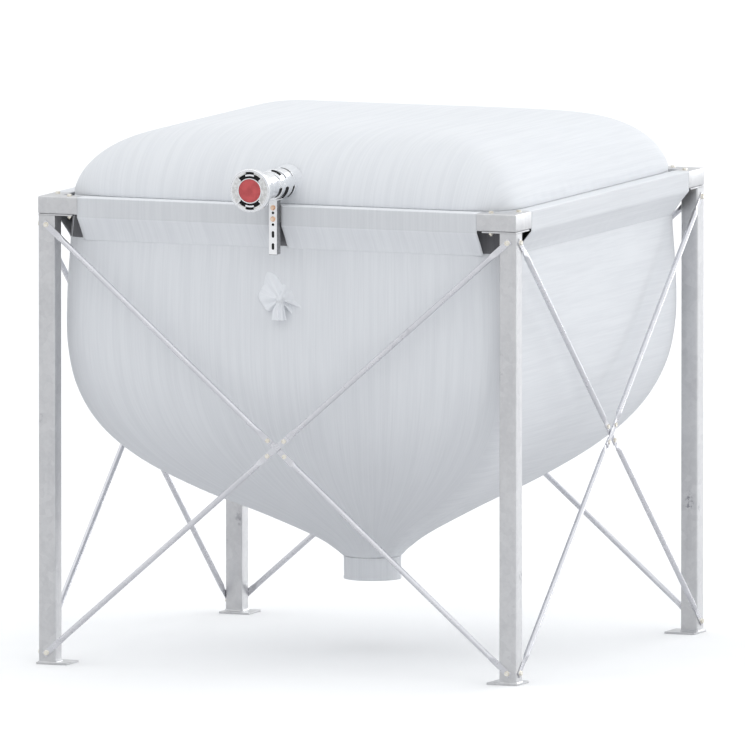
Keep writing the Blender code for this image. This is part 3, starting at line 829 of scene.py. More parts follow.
@dataclass
class BagShape:
    """Shape that the bag, its roof and the sleeve on its wall share.

    The profile gives half widths and heights from the spout up. The plan numbers say how square the
    plan is at the bag's foot, on its wall and at the roof.
    """

    cloth_half: float = 0.930
    spout_radius: float = 0.1135
    spout_top: float = 0.366
    rail_foot: float = 1.664
    round_plan: float = 2.0
    wall_plan: float = 20.0
    roof_plan: float = 14.0
    square_from: float = 1.25
    square_rate: float = 0.7
    profile: tuple[Flat, ...] = (
        (0.1135, 0.366), (0.130, 0.392), (0.196, 0.450), (0.360, 0.550), (0.540, 0.650), (0.722, 0.780),
        (0.846, 0.920), (0.916, 1.080), (0.941, 1.260), (0.940, 1.460), (0.930, 1.664), (0.930, 1.8327))

    def plan_exponent(self, z: float) -> float:
        """How square the plan is at a height: 2 is a circle."""
        if z > self.square_from:
            share = min(max((z - self.rail_foot) / (FRAME_TOP - self.rail_foot), 0.0), 1.0)
            return self.wall_plan + (self.roof_plan - self.wall_plan) * share
        share = max((z - self.spout_top) / (self.square_from - self.spout_top), 0.0)
        return self.round_plan + (self.wall_plan - self.round_plan) * share ** self.square_rate

    def plan_point(self, half: float, exponent: float, angle: float) -> Flat:
        """Point of the plan in the direction that lies at an angle from -Y."""
        s, c = math.sin(angle), math.cos(angle)
        reach = half / (abs(s) ** exponent + abs(c) ** exponent) ** (1.0 / exponent)
        return reach * s, -reach * c

    def half_at(self, z: float) -> float:
        """Half width of the bag at a height."""
        curve = smooth_profile(self.profile, 8)
        for (a0, z0), (a1, z1) in zip(curve, curve[1:]):
            if z0 <= z <= z1:
                return a0 + (a1 - a0) * (z - z0) / (z1 - z0)
        return self.cloth_half


@dataclass
class SiloFrame:
    """Columns with feet, head plates, corner sleeves and rails."""

    corner_radius: float = 0.006
    foot_size: float = 0.128
    foot_proud: float = 0.008
    foot_thickness: float = 0.008
    foot_radius: float = 0.003
    head_reach: float = 0.143
    plate_chamfer: float = 0.0008
    inset: float = 0.0005
    weld: float = 0.005
    weld_steps: int = 4

    def build(self) -> None:
        """Makes the frame's pieces at each corner and dresses the rails."""
        for corner in Corner:
            name = corner.name.lower()
            self.column(corner, name)
            self.foot(corner, name)
            self.head_plate(corner, name)
            self.sleeve(corner, name)
        for side in Side:
            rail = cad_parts["rail_" + side.name.lower()]
            rail.data.materials.clear()
            rail.data.materials.append(STEEL.material())

    def square(self, width: float, radius: float) -> list[Flat]:
        """Rounded square round the column's middle."""
        return [(x - TUBE / 2, y + TUBE / 2) for x, y in rounded_outline(width, width, radius, 5)]

    def head_bottom(self) -> float:
        """Underside of a head plate."""
        return FRAME_TOP - SLEEVE_HEIGHT - GAP - HEAD_PLATE

    def column(self, corner: Corner, name: str) -> None:
        """Hollow square tube from the foot plate to the head plate."""
        draft = Draft()
        draft.tube(self.square(TUBE, self.corner_radius),
                   self.square(TUBE - 2 * TUBE_WALL, self.corner_radius - TUBE_WALL),
                   self.foot_thickness + GAP, self.head_bottom() - GAP)
        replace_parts(make("column_tube_" + name, draft, STEEL, corner.place()), "column_" + name)

    def foot(self, corner: Corner, name: str) -> None:
        """Foot plate with the weld round the column's foot."""
        draft, middle = Draft(), self.foot_size / 2 - self.foot_proud
        draft.prism(rounded_outline(self.foot_size, self.foot_size, self.foot_radius, 3), 0.0,
                    self.foot_thickness, self.plate_chamfer, Matrix.Translation((-middle, middle, 0.0)))
        limit, rings = self.foot_proud - self.inset, []
        for k in range(self.weld_steps + 1):
            turn = math.radians(90 * k / self.weld_steps)
            swell = self.weld * math.cos(turn)
            height = self.foot_thickness + self.weld * math.sin(turn)
            ring = rounded_outline(TUBE + 2 * swell, TUBE + 2 * swell, self.corner_radius + swell, 5)
            rings.append([(min(x - TUBE / 2, limit), y + TUBE / 2, height) for x, y in ring])
        draft.rows(rings, closed=True)
        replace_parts(make("foot_" + name, draft, STEEL, corner.place()), "foot_plate_" + name)

    def head_plate(self, corner: Corner, name: str) -> None:
        """L shaped plate between the column and the sleeve."""
        reach, edge = self.head_reach, self.inset
        outline = [(-edge, edge), (-edge, reach), (-TUBE + edge, reach), (-TUBE + edge, TUBE - edge),
                   (-reach, TUBE - edge), (-reach, edge)]
        draft = Draft()
        low = self.head_bottom()
        draft.loft([[(x, y, z) for x, y in outline] for z in (low, low + HEAD_PLATE)])
        plate = make("head_plate_steel_" + name, draft, STEEL, corner.place())
        bevel = plate.modifiers.new("edges", "BEVEL")
        bevel.width, bevel.segments = self.plate_chamfer, 2
        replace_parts(plate, "head_plate_" + name)

    def sleeve(self, corner: Corner, name: str) -> None:
        """Two short square tubes joined in a mitre, into which the rails slide."""
        draft = Draft()
        outer = rounded_outline(TUBE, SLEEVE_HEIGHT, self.corner_radius, 5)
        inner = rounded_outline(TUBE - 2 * TUBE_WALL, SLEEVE_HEIGHT - 2 * TUBE_WALL,
                                self.corner_radius - TUBE_WALL, 5)
        height = FRAME_TOP - SLEEVE_HEIGHT / 2
        loops = []
        for outline in (outer, inner):
            first = [(-SLEEVE_REACH, TUBE / 2 + a, height + b) for a, b in outline]
            bend = [(-TUBE / 2 - a, TUBE / 2 + a, height + b) for a, b in outline]
            last = [(-TUBE / 2 - a, SLEEVE_REACH, height + b) for a, b in outline]
            loops.append((first, bend, last))
        outside, inside = loops
        draft.rows([*reversed(inside), *outside, inside[-1]], closed=True)
        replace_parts(make("rail_sleeve_" + name, draft, STEEL, corner.place()), "corner_sleeve_" + name)


@dataclass
class DiagonalBraces:
    """Crossed round braces with flattened ends, two to a side."""

    diameter: float = 0.022
    tab_width: float = 0.0245
    tab: float = 0.004
    strap_width: float = 0.024
    top_bolt: float = 0.111
    low_bolt: float = 0.046
    end: float = 0.014
    flat_at_column: float = 0.062
    taper: float = 0.036
    inner_end: float = 0.030
    flat_at_crossing: float = 0.075
    strap_reach: float = 0.066
    flat: float = 12.0
    round: float = 2.0
    taper_steps: int = 8
    corners: int = 32

    def half_length(self) -> float:
        """Half the distance between a brace's two column bolts."""
        return math.hypot(HALF - TUBE / 2, (FRAME_TOP - self.top_bolt - self.low_bolt) / 2)

    def slope(self) -> float:
        """Angle of a brace from level."""
        return math.atan2(FRAME_TOP - self.top_bolt - self.low_bolt, 2 * (HALF - TUBE / 2))

    def middle_height(self) -> float:
        """Height of the crossing."""
        return (FRAME_TOP - self.top_bolt + self.low_bolt) / 2

    def section(self, s: float, width: float, back: float, front: float, exponent: float) -> list[Point]:
        """Ring of a brace at a distance along it, between two depths in front of the column face."""
        ring, middle, half_depth = [], (back + front) / 2, (front - back) / 2
        for k in range(self.corners):
            a = 2 * math.pi * (k + 0.5) / self.corners
            c, d = math.cos(a), math.sin(a)
            reach = 1.0 / (abs(c) ** exponent + abs(d) ** exponent) ** (1 / exponent)
            ring.append((s, -(middle + half_depth * reach * d), width / 2 * reach * c))
        return ring

    def tapered(self, s: float, share: float) -> tuple:
        """Section at a distance along a brace, flat at a share of 0 and round at 1."""
        t, reach = ease(share), self.diameter / 2 - self.tab / 2
        return (s, self.tab_width + (self.diameter - self.tab_width) * t, -reach * t, self.tab + reach * t,
                self.round + (self.flat - self.round) * (1 - t) ** 2)

    def stations(self, in_front: bool) -> list[tuple]:
        """Sections from the column end to the crossing."""
        thick, half, steps, step = self.tab, self.half_length(), self.taper_steps, 0.0005
        front, back = (2 * thick, 0.0) if in_front else (thick, -thick)
        strap = (thick, 2 * thick) if in_front else (-thick, 0.0)
        rows = [(half + self.end, self.tab_width * 0.90, 0.0, thick, self.flat),
                (half + self.end - 0.001, self.tab_width, 0.0, thick, self.flat),
                (half - self.flat_at_column, self.tab_width, 0.0, thick, self.flat)]
        rows += [self.tapered(half - self.flat_at_column - self.taper * k / steps, k / steps)
                 for k in range(1, steps + 1)]
        rows += [self.tapered(self.flat_at_crossing + self.taper * k / steps, k / steps)
                 for k in range(steps, 0, -1)]
        rows += [(self.flat_at_crossing, self.tab_width, 0.0, thick, self.flat),
                 (self.strap_reach + step, self.tab_width, 0.0, thick, self.flat),
                 (self.strap_reach, self.tab_width, back, front, self.flat),
                 (self.inner_end, self.tab_width, back, front, self.flat),
                 (self.inner_end - step, self.strap_width, *strap, self.flat)]
        return rows

    def build(self) -> None:
        """Makes the two braces of each side."""
        for side in Side:
            for kind, tilt in (("rising", -self.slope()), ("falling", self.slope())):
                rows = self.stations(kind == "rising")
                rings = [self.section(*row) for row in rows]
                rings += [self.section(-row[0], *row[1:]) for row in reversed(rows)]
                draft = Draft()
                draft.loft(rings)
                place = (side.place() @ Matrix.Translation((0.0, -HALF - GAP, self.middle_height()))
                         @ Matrix.Rotation(tilt, 4, "Y"))
                name = f"{side.name.lower()}_{kind}"
                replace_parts(make("diagonal_" + name, draft, BAR, place), "brace_" + name)


@dataclass
class Fasteners:
    """Hex bolts, nuts and washers."""

    braces: DiagonalBraces = field(default_factory=DiagonalBraces)
    flats: float = 0.017
    head: float = 0.0064
    washer: float = 0.0016
    washer_radius: float = 0.0105
    shank: float = 0.005
    pitch: float = 0.0015
    sleeve_bolt: float = 0.1175
    nut: float = 0.008
    stub: float = 0.005
    crossing_bolt: float = 0.046
    crossing_head: float = 0.0046

    def bolt(self, head: float, washer: float, stub: float = 0.0) -> Draft:
        """Bolt head or nut that stands on z = 0.

        Args:
            head: Height of the hexagon.
            washer: Thickness of the washer under it.
            stub: How far a threaded end stands above the hexagon.

        Returns:
            The draft.
        """
        draft = Draft()
        if washer:
            draft.turned([(0.0, 0.0), (self.washer_radius, 0.0), (self.washer_radius, washer * 0.8),
                          (self.washer_radius * 0.97, washer), (0.0, washer)], 28)
        rings, radius = [], self.flats / math.sqrt(3)
        for z, limit in ((washer, 0.97), (washer + 0.0004, 1.0), (washer + head * 0.80, 1.0),
                         (washer + head, 0.90)):
            ring = []
            for k in range(24):
                a = math.radians(15 * k)
                local = math.radians((15 * k) % 60 - 30)
                edge = radius * math.cos(math.radians(30)) / math.cos(local)
                reach = min(edge, radius * limit)
                ring.append((reach * math.cos(a), reach * math.sin(a), z))
            rings.append(ring)
        draft.loft(rings)
        if stub:
            top = washer + head
            rows = [(0.0, top - 0.001), (self.shank, top - 0.001)]
            turns = max(int(stub / self.pitch), 1)
            for k in range(turns):
                z = top + stub * (k + 0.5) / turns
                rows += [(self.shank * 0.9, z), (self.shank, z + stub * 0.4 / turns)]
            rows += [(self.shank * 0.8, top + stub), (0.0, top + stub)]
            draft.turned(rows, 20)
        return draft

    def build(self) -> None:
        """Makes the bolts of each side and each corner."""
        for side in Side:
            self.side_bolts(side)
        for corner in Corner:
            self.corner_bolts(corner)

    def side_bolts(self, side: Side) -> None:
        """Bolts at the columns and at the crossing of one side."""
        draft = Draft()
        reach, top = HALF - TUBE / 2, FRAME_TOP - self.braces.top_bolt
        face = -HALF - GAP - self.braces.tab
        for i, (x, z) in enumerate(((-reach, top), (reach, top), (-reach, self.braces.low_bolt),
                                    (reach, self.braces.low_bolt))):
            # Each head stands at an angle of its own, as tightened bolts do.
            turn = Matrix.Rotation(math.radians(17 + 23 * i), 4, "Z")
            draft.add(self.bolt(self.head, self.washer), Matrix.Translation((x, face, z)) @ OUTWARD @ turn)
        slope, middle = self.braces.slope(), self.braces.middle_height()
        for kind, depth in ((1, 2 * self.braces.tab), (-1, self.braces.tab)):
            for end in (1, -1):
                x = self.crossing_bolt * math.cos(slope) * end
                z = middle + self.crossing_bolt * math.sin(slope) * end * kind
                place = Matrix.Translation((x, -HALF - GAP - depth, z)) @ OUTWARD
                turn = Matrix.Rotation(math.radians(31 * end), 4, "Z")
                draft.add(self.bolt(self.crossing_head, 0.0), place @ turn)
        make("brace_bolts_" + side.name.lower(), draft, BOLT_ZINC, side.place())

    def corner_bolts(self, corner: Corner) -> None:
        """Upright bolts through the two arms of a corner sleeve, head above and nut below."""
        draft = Draft()
        for x, y in ((-self.sleeve_bolt, TUBE / 2), (-TUBE / 2, self.sleeve_bolt)):
            draft.add(self.bolt(self.head, self.washer), Matrix.Translation((x, y, FRAME_TOP)))
            low = FRAME_TOP - SLEEVE_HEIGHT - GAP - HEAD_PLATE
            down = Matrix.Translation((x, y, low)) @ Matrix.Rotation(math.radians(180), 4, "X")
            draft.add(self.bolt(self.nut, self.washer, self.stub), down)
        make("sleeve_bolts_" + corner.name.lower(), draft, BOLT_ZINC, corner.place())


@dataclass
class FabricBag:
    """The bag's walls and bowl: one continuous sheet that hangs from the rails."""

    shape: BagShape
    cloth: float = 0.0016
    around: int = 256
    steps: int = 9
    sag: float = 0.0060
    crease: float = 0.0055
    drift: float = 0.0022
    folds: float = 26.0
    fold_depth: float = 0.0022
    seam: float = 0.0015

    def vee(self, x: float) -> float:
        """Height of the drape crease on a side wall."""
        return 0.925 + math.hypot(0.83 * x, 0.09)

    def slack(self, side: int, x: float, z: float) -> float:
        """How far the cloth stands out of its plain shape.

        Args:
            side: Number of the side, from the front.
            x: Distance across the side, from its middle.
            z: Height.

        Returns:
            Offset in metres, outwards.
        """
        strength = 1.0 if side % 2 else 0.25
        over = (z - self.vee(x)) * 0.80
        middle = ease((0.86 - abs(x)) / 0.18) * ease((1.67 - z) / 0.12)
        panel = self.sag * ease(over / 0.12 + 0.2) * middle
        crease = -self.crease * hump((over + 0.01) / 0.045) * middle
        drift = self.drift * noise.noise(Vector((x * 2.6 + 7.0 * side, 3.0 * side, z * 2.2)))
        drift *= ease((1.66 - z) / 0.2)
        tight = 0.0006 * math.sin(95.0 * x + 4.0 * noise.noise(Vector((x * 6.0, side, 0.0))))
        tight *= hump((1.64 - z) / 0.09)
        return strength * (panel + crease) + drift + tight

    def fan(self, angle: float, z: float) -> float:
        """Folds that run down the bowl to the spout."""
        depth = hump((z - 0.43) / 0.13)
        waver = 1.5 * noise.noise(Vector((2.0 * math.sin(angle), 2.0 * math.cos(angle), 0.4)))
        return self.fold_depth * depth * math.cos(self.folds * angle + waver)

    def spot(self, level: Point, angle: float) -> tuple[Point, Flat]:
        """Point and grain of the bag at a half width, height and way run, in one direction."""
        half, z, run = level
        turn = (angle + math.pi / 4) % (2 * math.pi)
        side = int(turn // (math.pi / 2))
        local = turn - side * math.pi / 2 - math.pi / 4
        out = self.slack(side, half * math.tan(local), z) + self.fan(angle, z) * (half / 0.3)
        from_seam = abs(abs(math.degrees(local)) - 45.0)
        out += self.seam * hump(from_seam / 0.9) * ease((z - 0.45) / 0.2)
        x, y = self.shape.plan_point(half + out, self.shape.plan_exponent(z), angle)
        return (x, y, z), (side * 2.0 + local / (math.pi / 4) * self.shape.cloth_half, run)

    def build(self) -> None:
        """Makes the sheet, its seams and its grain."""
        curve = smooth_profile(self.shape.profile, self.steps)
        levels, run = [(*curve[0], 0.0)], 0.0
        for above, below in zip(curve[1:], curve):
            run += math.dist(above, below)
            levels.append((*above, run))
        quarter = self.around // 4
        rows, grain = closed_rows(levels, self.around, self.spot)
        bag = make_sheet("fabric_bag", rows, grain, CLOTH, self.cloth,
                         across=lambda k: ((k + quarter // 2) // quarter) % 4 in (1, 3))
        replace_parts(bag, *("bag_wall_" + side.name.lower() for side in Side))


@dataclass
class ShadeBand:
    """Near-black sheet round the bag behind the flaps that paints the shade seen at the corners and in the
    bracket's notch.
    """

    shape: BagShape
    low: float = 1.6690
    high: float = 1.8020
    proud: float = 0.0012
    cloth: float = 0.0007
    around: int = 320
    levels: int = 8

    def build(self) -> None:
        """Makes the band."""
        rows, grain = [], []
        length = 8 * self.shape.cloth_half
        for i in range(self.levels + 1):
            z = self.low + (self.high - self.low) * i / self.levels
            half, exponent = self.shape.half_at(z) + self.proud, self.shape.plan_exponent(z)
            points = [self.shape.plan_point(half, exponent, 2 * math.pi * k / self.around)
                      for k in range(self.around)]
            rows.append([(x, y, z) for x, y in points])
            grain.append([(length * k / self.around, z - self.low) for k in range(self.around + 1)])
        band = make_sheet("painted_shade_band", rows[::-1], grain[::-1], SHADE_BAND_CLOTH, self.cloth)


@dataclass
class RailPockets:
    """Cloth that wraps each rail: over the top, down the face and back to the bag in a sloping flap."""

    slope_drop: float = 0.169
    inner: float = 0.9306
    face: float = 0.9997
    notch: float = 0.0195
    notch_row: int = 4
    notch_room: float = 0.004
    cloth: float = 0.0014
    edge_radius: float = 0.004
    columns: int = 120

    def section(self, x: float, side: int) -> list[Flat]:
        """Section of a pocket: distance out and height, from the bag over the rail to the flap's foot.

        Args:
            x: Distance along the rail.
            side: Number of the side, for its own waves.

        Returns:
            Points of the section.
        """
        wave = noise.noise(Vector((x * 5.0, side * 3.7, 0.0)))
        crease = FRAME_TOP - POCKET_DROP + 0.0016 * wave
        face, top, foot = self.face, FRAME_TOP, FRAME_TOP - self.slope_drop
        points = [(self.inner, top - 0.0006), (self.inner + 0.012, top), ((self.inner + face) / 2, top)]
        for k in range(6):
            a = math.radians(90 - 18 * k)
            points.append((face - self.edge_radius * (1 - math.cos(a)),
                           top - self.edge_radius * (1 - math.sin(a))))
        for k in range(1, 7):
            t = k / 7
            bulge = 0.0007 * math.sin(math.pi * t) * (1 + wave)
            points.append((face - 0.0006 + bulge,
                           top - self.edge_radius + t * (crease + self.edge_radius - top)))
        points += [(face, crease + 0.002), (face - 0.0012, crease - 0.002)]
        for k in range(1, 11):
            t = k / 11
            sag = 0.0035 * math.sin(math.pi * t) * (0.7 + 0.6 * wave)
            ripple = 0.0008 * math.sin(70.0 * x + 5.0 * wave) * t
            points.append((face - (face - self.inner) * t - sag + ripple, crease - (crease - foot) * t))
        points += [(self.inner + 0.0022, foot + 0.002), (self.inner + 0.0010, foot - 0.0035),
                   (self.inner - 0.0020, foot - 0.0045)]
        return points

    def build(self) -> None:
        """Makes the four pockets."""
        end = HALF - SLEEVE_REACH - GAP
        for number, side in enumerate(Side):
            places = [-end + 2 * end * k / self.columns for k in range(self.columns + 1)]
            middle = -1
            if side is Side.FRONT:
                kept = [x for x in places if abs(x) > self.notch + self.notch_room]
                places = sorted([*kept, -self.notch, self.notch])
                middle = places.index(-self.notch)
            sections = [self.section(x, number) for x in places]
            rows = [[(x, -out, z) for x, (out, z) in zip(places, row)] for row in zip(*sections)]
            runs = [0.0]
            for (a0, z0), (a1, z1) in zip(sections[0], sections[0][1:]):
                runs.append(runs[-1] + math.hypot(a1 - a0, z1 - z0))
            grain = [[(x, run) for x in places] for run in runs]
            draft = Draft()
            draft.rows(rows, grain=grain, across=(lambda k: True) if number % 2 else None,
                       skip=lambda i, k: k == middle and i >= self.notch_row)
            name = side.name.lower()
            finish = FRONT_POCKET if side is Side.FRONT else POCKET
            pocket = make("rail_cloth_" + name, draft, finish, side.place(), Edge.SOFT, self.cloth)
            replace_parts(pocket, "rail_pocket_" + name)


@dataclass
class RoofCover:
    """The domed cover, blown up and held by the bag's top hem."""

    shape: BagShape
    hem: float = 0.008
    rise: float = 0.252
    shoulder: float = 5.8
    softness: float = 1.6
    gather: float = 2.2
    puckers: int = 76
    pucker: float = 0.0012
    sway: float = 0.0020
    rings: int = 44
    around: int = 256
    cloth: float = 0.0016

    @property
    def hem_top(self) -> float:
        """Height at which the dome starts."""
        return FRAME_TOP + GAP + self.hem

    def height(self, reach: float) -> float:
        """Height of the dome above its hem, by the share of the way out."""
        return self.rise * max(1 - reach ** self.shoulder, 0.0) ** (1 / self.softness)

    def spot(self, level: Flat, angle: float) -> tuple[Point, Flat]:
        """Point and grain of the dome at a share of the way out and a height, in one direction."""
        reach, z = level
        above = z - self.hem_top
        waver = 3 * noise.noise(Vector((math.sin(angle) * 5, math.cos(angle) * 5, 0)))
        pucker = self.pucker * math.sin(self.puckers * angle + waver)
        pucker *= hump(above / 0.035) * ease(above / 0.01) * reach
        x, y = self.shape.plan_point(self.shape.cloth_half * reach + pucker, self.shape.roof_plan, angle)
        lift = self.sway * noise.noise(Vector((x * 2.1, y * 2.1, 4.0))) * (1 - reach ** 4)
        side_share = (abs(x) / max(abs(x), abs(y), 1e-6)) ** 6
        drop = self.rise - above
        return (x, y, z + lift), (x + math.copysign(drop * side_share, x), y)

    def build(self) -> None:
        """Makes the dome, its hem and the puckers along it."""
        reaches = [1 - (1 - k / self.rings) ** self.gather for k in range(self.rings + 1)]
        levels = [(reach, self.hem_top + self.height(reach)) for reach in reaches]
        levels += [(1.0, self.hem_top - self.hem * t) for t in (0.35, 0.7, 1.0)]
        rows, grain = closed_rows(levels, self.around, self.spot)
        roof = make_sheet("roof_dome", rows, grain, CLOTH, self.cloth)
        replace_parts(roof, "roof_cover")


@dataclass
class OutletSpout:
    """Round cloth spout under the bowl, gathered lightly, with a turned hem."""

    shape: BagShape
    bottom: float = 0.275
    hem: float = 0.012
    gathers: int = 26
    gather: float = 0.0011
    drawn_in: float = 0.0018
    cloth: float = 0.0016
    around: int = 128

    def spot(self, level: Flat, angle: float) -> tuple[Point, Flat]:
        """Point and grain of the spout at a height and a distance out, in one direction."""
        z, out = level
        gather = self.gather * math.cos(self.gathers * angle) * ease((z - self.bottom) / 0.09)
        reach = self.shape.spout_radius - self.drawn_in + out + gather
        return (reach * math.sin(angle), -reach * math.cos(angle), z), (angle * self.shape.spout_radius, z)

    def build(self) -> None:
        """Makes the spout, its hem roll and its gathers."""
        top, bottom, roll = self.shape.spout_top, self.bottom, self.bottom + self.hem
        levels = [(top - 0.0003, 0.0), (top - 0.006, 0.0008), (top - 0.014, -0.0004), (top - 0.03, 0.0),
                  (0.320, 0.0004), (roll + 0.004, 0.0), (roll, -0.0006), (roll - 0.003, 0.0016),
                  (bottom + 0.003, 0.0018), (bottom, 0.0006)]
        rows, grain = closed_rows(levels, self.around, self.spot)
        spout = make_sheet("outlet_sleeve", rows, grain, CLOTH, self.cloth)
        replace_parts(spout, "outlet_spout")


@dataclass
class FillingCoupling:
    """Filling pipe, coupling with its clamp rings and lugs, and the cap with a red disc.

    Depths run from the frame's middle out to the front. A clamp ring is given by its front, rear and
    radius, a slot by its depth, width and radius, and turns are in degrees from the right.
    """

    pipe: float = 0.050
    wall: float = 0.003
    inner_end: float = 0.700
    outer_end: float = 0.930
    body_end: float = 1.250
    body_step: float = 0.001
    collar: float = 0.064
    collar_length: float = 0.012
    gap_floor: float = 0.0485
    lug: float = 0.0605
    lug_span: Flat = (-3.0, 30.0)
    lug_bolts: tuple[float, ...] = (1.052, 0.994, 0.950)
    lug_bolt_turn: float = 7.0
    lug_bolt_foot: float = 0.0560
    clamp_rings: tuple[tuple[float, float, float], ...] = (
        (1.074, 1.030, 0.0575), (1.021, 0.962, 0.0608), (0.954, 0.9304, 0.0608))
    slots: tuple[tuple[float, float, float], ...] = (
        (1.086, 0.014, COUPLING_BODY), (1.025, 0.015, 0.0608), (0.966, 0.013, 0.0612))
    slot_middles: Flat = (-31.0, 211.0)
    slot_reach: float = 24.0
    windows: Flat = (1.052, 0.958)
    window_span: Flat = (48.0, 88.0)
    cap: float = 0.084
    cap_front: float = 1.277
    cap_depth: float = 0.016
    cap_step: float = 0.0030
    disc: float = 0.0461
    flat_inner: float = 0.0500
    flat_outer: float = 0.0745
    flat_narrow: float = 0.0665
    flat_reach: float = 43.0
    bar_reach: float = 17.0
    slot_edge: float = 14.0
    cloth: float = 0.0014

    def axis(self) -> Matrix:
        """Placement of pieces drawn with their axis up Z and the cap's front at the top."""
        return Matrix.Translation((0.0, FRAME_BACK, COUPLING_HEIGHT)) @ OUTWARD

    def build(self) -> None:
        """Makes pipe, coupling, cap and the cloth collar round the pipe."""
        self.make_pipe()
        self.make_body()
        self.make_gap_shade()
        self.make_cap()
        self.make_cap_inlays()
        self.make_cloth_collar()

    def make_pipe(self) -> None:
        """Plain pipe through the dome."""
        draft = Draft()
        draft.ring(self.pipe - self.wall, self.pipe, self.inner_end, self.outer_end, 72)
        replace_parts(make("filling_pipe_tube", draft, ALUMINIUM, self.axis()), "filler_pipe")

    def make_body(self) -> None:
        """Coupling body with its collar, three clamp rings and the lugs across them."""
        bore, body, step = self.pipe - self.wall, COUPLING_BODY, self.body_step
        back = self.body_end - self.collar_length
        section = [
            (self.collar - step, self.body_end), (self.collar, self.body_end - step),
            (self.collar, back + step), (self.collar - step, back), (body + 0.003, back - 0.008),
            (body, back - 0.014), (body, 1.150), (body - step, 1.149), (body - step, 1.146),
            (body, 1.145), (body, 1.084), (body - step, 1.083)]
        for front, rear, radius in self.clamp_rings:
            section += [(self.gap_floor, front + 0.0005), (radius - 0.0015, front), (radius, front - 0.0015),
                        (radius, rear + 0.0015), (radius - 0.0015, rear), (self.gap_floor, rear - 0.0005)]
        section += [(bore, self.outer_end + GAP), (bore, self.body_end)]
        draft, lug, boss = Draft(), Draft(), Draft()
        draft.turned(section, 96)
        foot = self.gap_floor - step
        lug.turned([(foot, 1.080), (0.0570, 1.080), (self.lug, 1.030), (self.lug, 0.940), (foot, 0.940)],
                   10, *self.lug_span)
        boss.turned([(0.0, 0.0), (0.0052, 0.0), (0.0052, 0.0035), (0.0040, 0.0046), (0.0, 0.0050)], 18)
        sideways = Matrix.Rotation(math.radians(90), 4, "Y")
        for turn in (0.0, 180.0):
            draft.add(lug, Matrix.Rotation(math.radians(turn), 4, "Z"))
            about = Matrix.Rotation(math.radians(turn + self.lug_bolt_turn), 4, "Z")
            for depth in self.lug_bolts:
                draft.add(boss, about @ Matrix.Translation((self.lug_bolt_foot, 0.0, depth)) @ sideways)
        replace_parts(make("filling_coupling_body", draft, ALUMINIUM, self.axis()), "filler_coupling")

    def make_gap_shade(self) -> None:
        """Painted shade: near-black rings in the gaps between the clamp rings, and in the slots and windows
        cut into them.
        """
        draft = Draft()
        for (_, rear, _), (front, _, _) in zip(((0, 1.083, 0), *self.clamp_rings), self.clamp_rings):
            draft.ring(self.gap_floor - 0.001, self.gap_floor + 0.0012, front, rear, 72)
        for depth, width, radius in self.slots:
            for middle in self.slot_middles:
                draft.ring(radius - 0.002, radius + 0.0006, depth - width / 2, depth + width / 2, 12,
                           middle - self.slot_reach, middle + self.slot_reach)
        for depth in self.windows:
            draft.turned([(0.0560, depth + 0.0045), (0.0614, depth + 0.0040), (0.0614, depth - 0.0040),
                          (0.0560, depth - 0.0045)], 12, *self.window_span)
        make("coupling_gap_shade", draft, DEEP_SHADE, self.axis())

    def make_cap(self) -> None:
        """Cap: a ring round the disc, the rim, a bar above and below, and four ribs."""
        back, front, cap = self.body_end + GAP, self.cap_front, self.cap
        face, floor = front - self.cap_step, front - self.cap_depth
        draft = Draft()
        draft.turned([
            (0.0460, floor), (0.0460, front - 0.0012), (0.0472, front - 0.0006), (0.0492, front - 0.0008),
            (self.flat_inner, front - 0.0020), (self.flat_inner, floor)], 112)
        draft.turned([
            (0.0740, floor), (0.0740, face), (0.0782, face), (0.0788, front - 0.0042),
            (0.0796, front - 0.0042), (0.0802, front - 0.0010), (cap - 0.002, front - 0.0008),
            (cap, front - 0.003), (cap, back + 0.003), (cap - 0.003, back), (0.0700, back),
            (0.0700, floor)], 112)
        for side in (90.0, 270.0):
            draft.turned([(0.0572, floor), (0.0572, front - 0.0022), (0.0578, front - 0.0016),
                          (0.0634, front - 0.0016), (0.0640, front - 0.0022), (0.0640, floor)],
                         10, side - self.bar_reach, side + self.bar_reach)
        rib = rounded_outline(0.0270, 0.0040, 0.0012, 3)
        for k in range(4):
            turn = Matrix.Rotation(math.radians(45 + 90 * k), 4, "Z")
            draft.prism(rib, floor, front - 0.0004, place=turn @ Matrix.Translation((0.0665, 0.0, 0.0)))
        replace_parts(make("filling_cap_body", draft, ALUMINIUM, self.axis()), "filler_cap")

    def make_cap_inlays(self) -> None:
        """Brushed flats of the cap, a near-black floor behind them that paints the recess's shade, and the
        red disc.
        """
        back, front = self.body_end + GAP, self.cap_front
        floor, top = front - self.cap_depth, front - self.cap_step - 0.0005
        flats, recess, disc = Draft(), Draft(), Draft()
        for side in (0.0, 180.0):
            flats.ring(self.flat_inner, self.flat_outer, floor, top, 24,
                       side - self.flat_reach, side + self.flat_reach)
        for side in (90.0, 270.0):
            for start, end in ((-self.flat_reach, -self.slot_edge), (self.slot_edge, self.flat_reach)):
                flats.ring(self.flat_narrow, self.flat_outer, floor, top, 8, side + start, side + end)
        make("cap_flats", flats, BRUSHED, self.axis())
        # Painted shade: a near-black floor in the cap's recess.
        recess.turned([(0.0, floor + 0.0010), (0.0760, floor + 0.0010), (0.0760, back + 0.0005),
                       (0.0, back + 0.0005)], 96)
        make("cap_recess_shade", recess, DEEP_SHADE, self.axis())
        disc.turned([(0.0, front - 0.0016), (0.030, front - 0.0014), (0.0440, front - 0.0014),
                     (0.0455, front - 0.0022), (self.disc, front - 0.0040), (self.disc, floor + 0.0005),
                     (0.0, floor + 0.0005)], 96)
        make("cap_disc", disc, RED, self.axis())

    @staticmethod
    def collar_spot(level: Flat, angle: float) -> tuple[Point, Flat]:
        """Point and grain of the cloth collar at a depth and radius, in one direction."""
        depth, radius = level
        fold = 0.0010 * math.sin(18 * angle + 2 * math.sin(3 * angle)) * ease((radius - 0.054) / 0.02)
        reach = radius + fold
        return (reach * math.cos(angle), reach * math.sin(angle), depth), (angle * 0.06, depth)

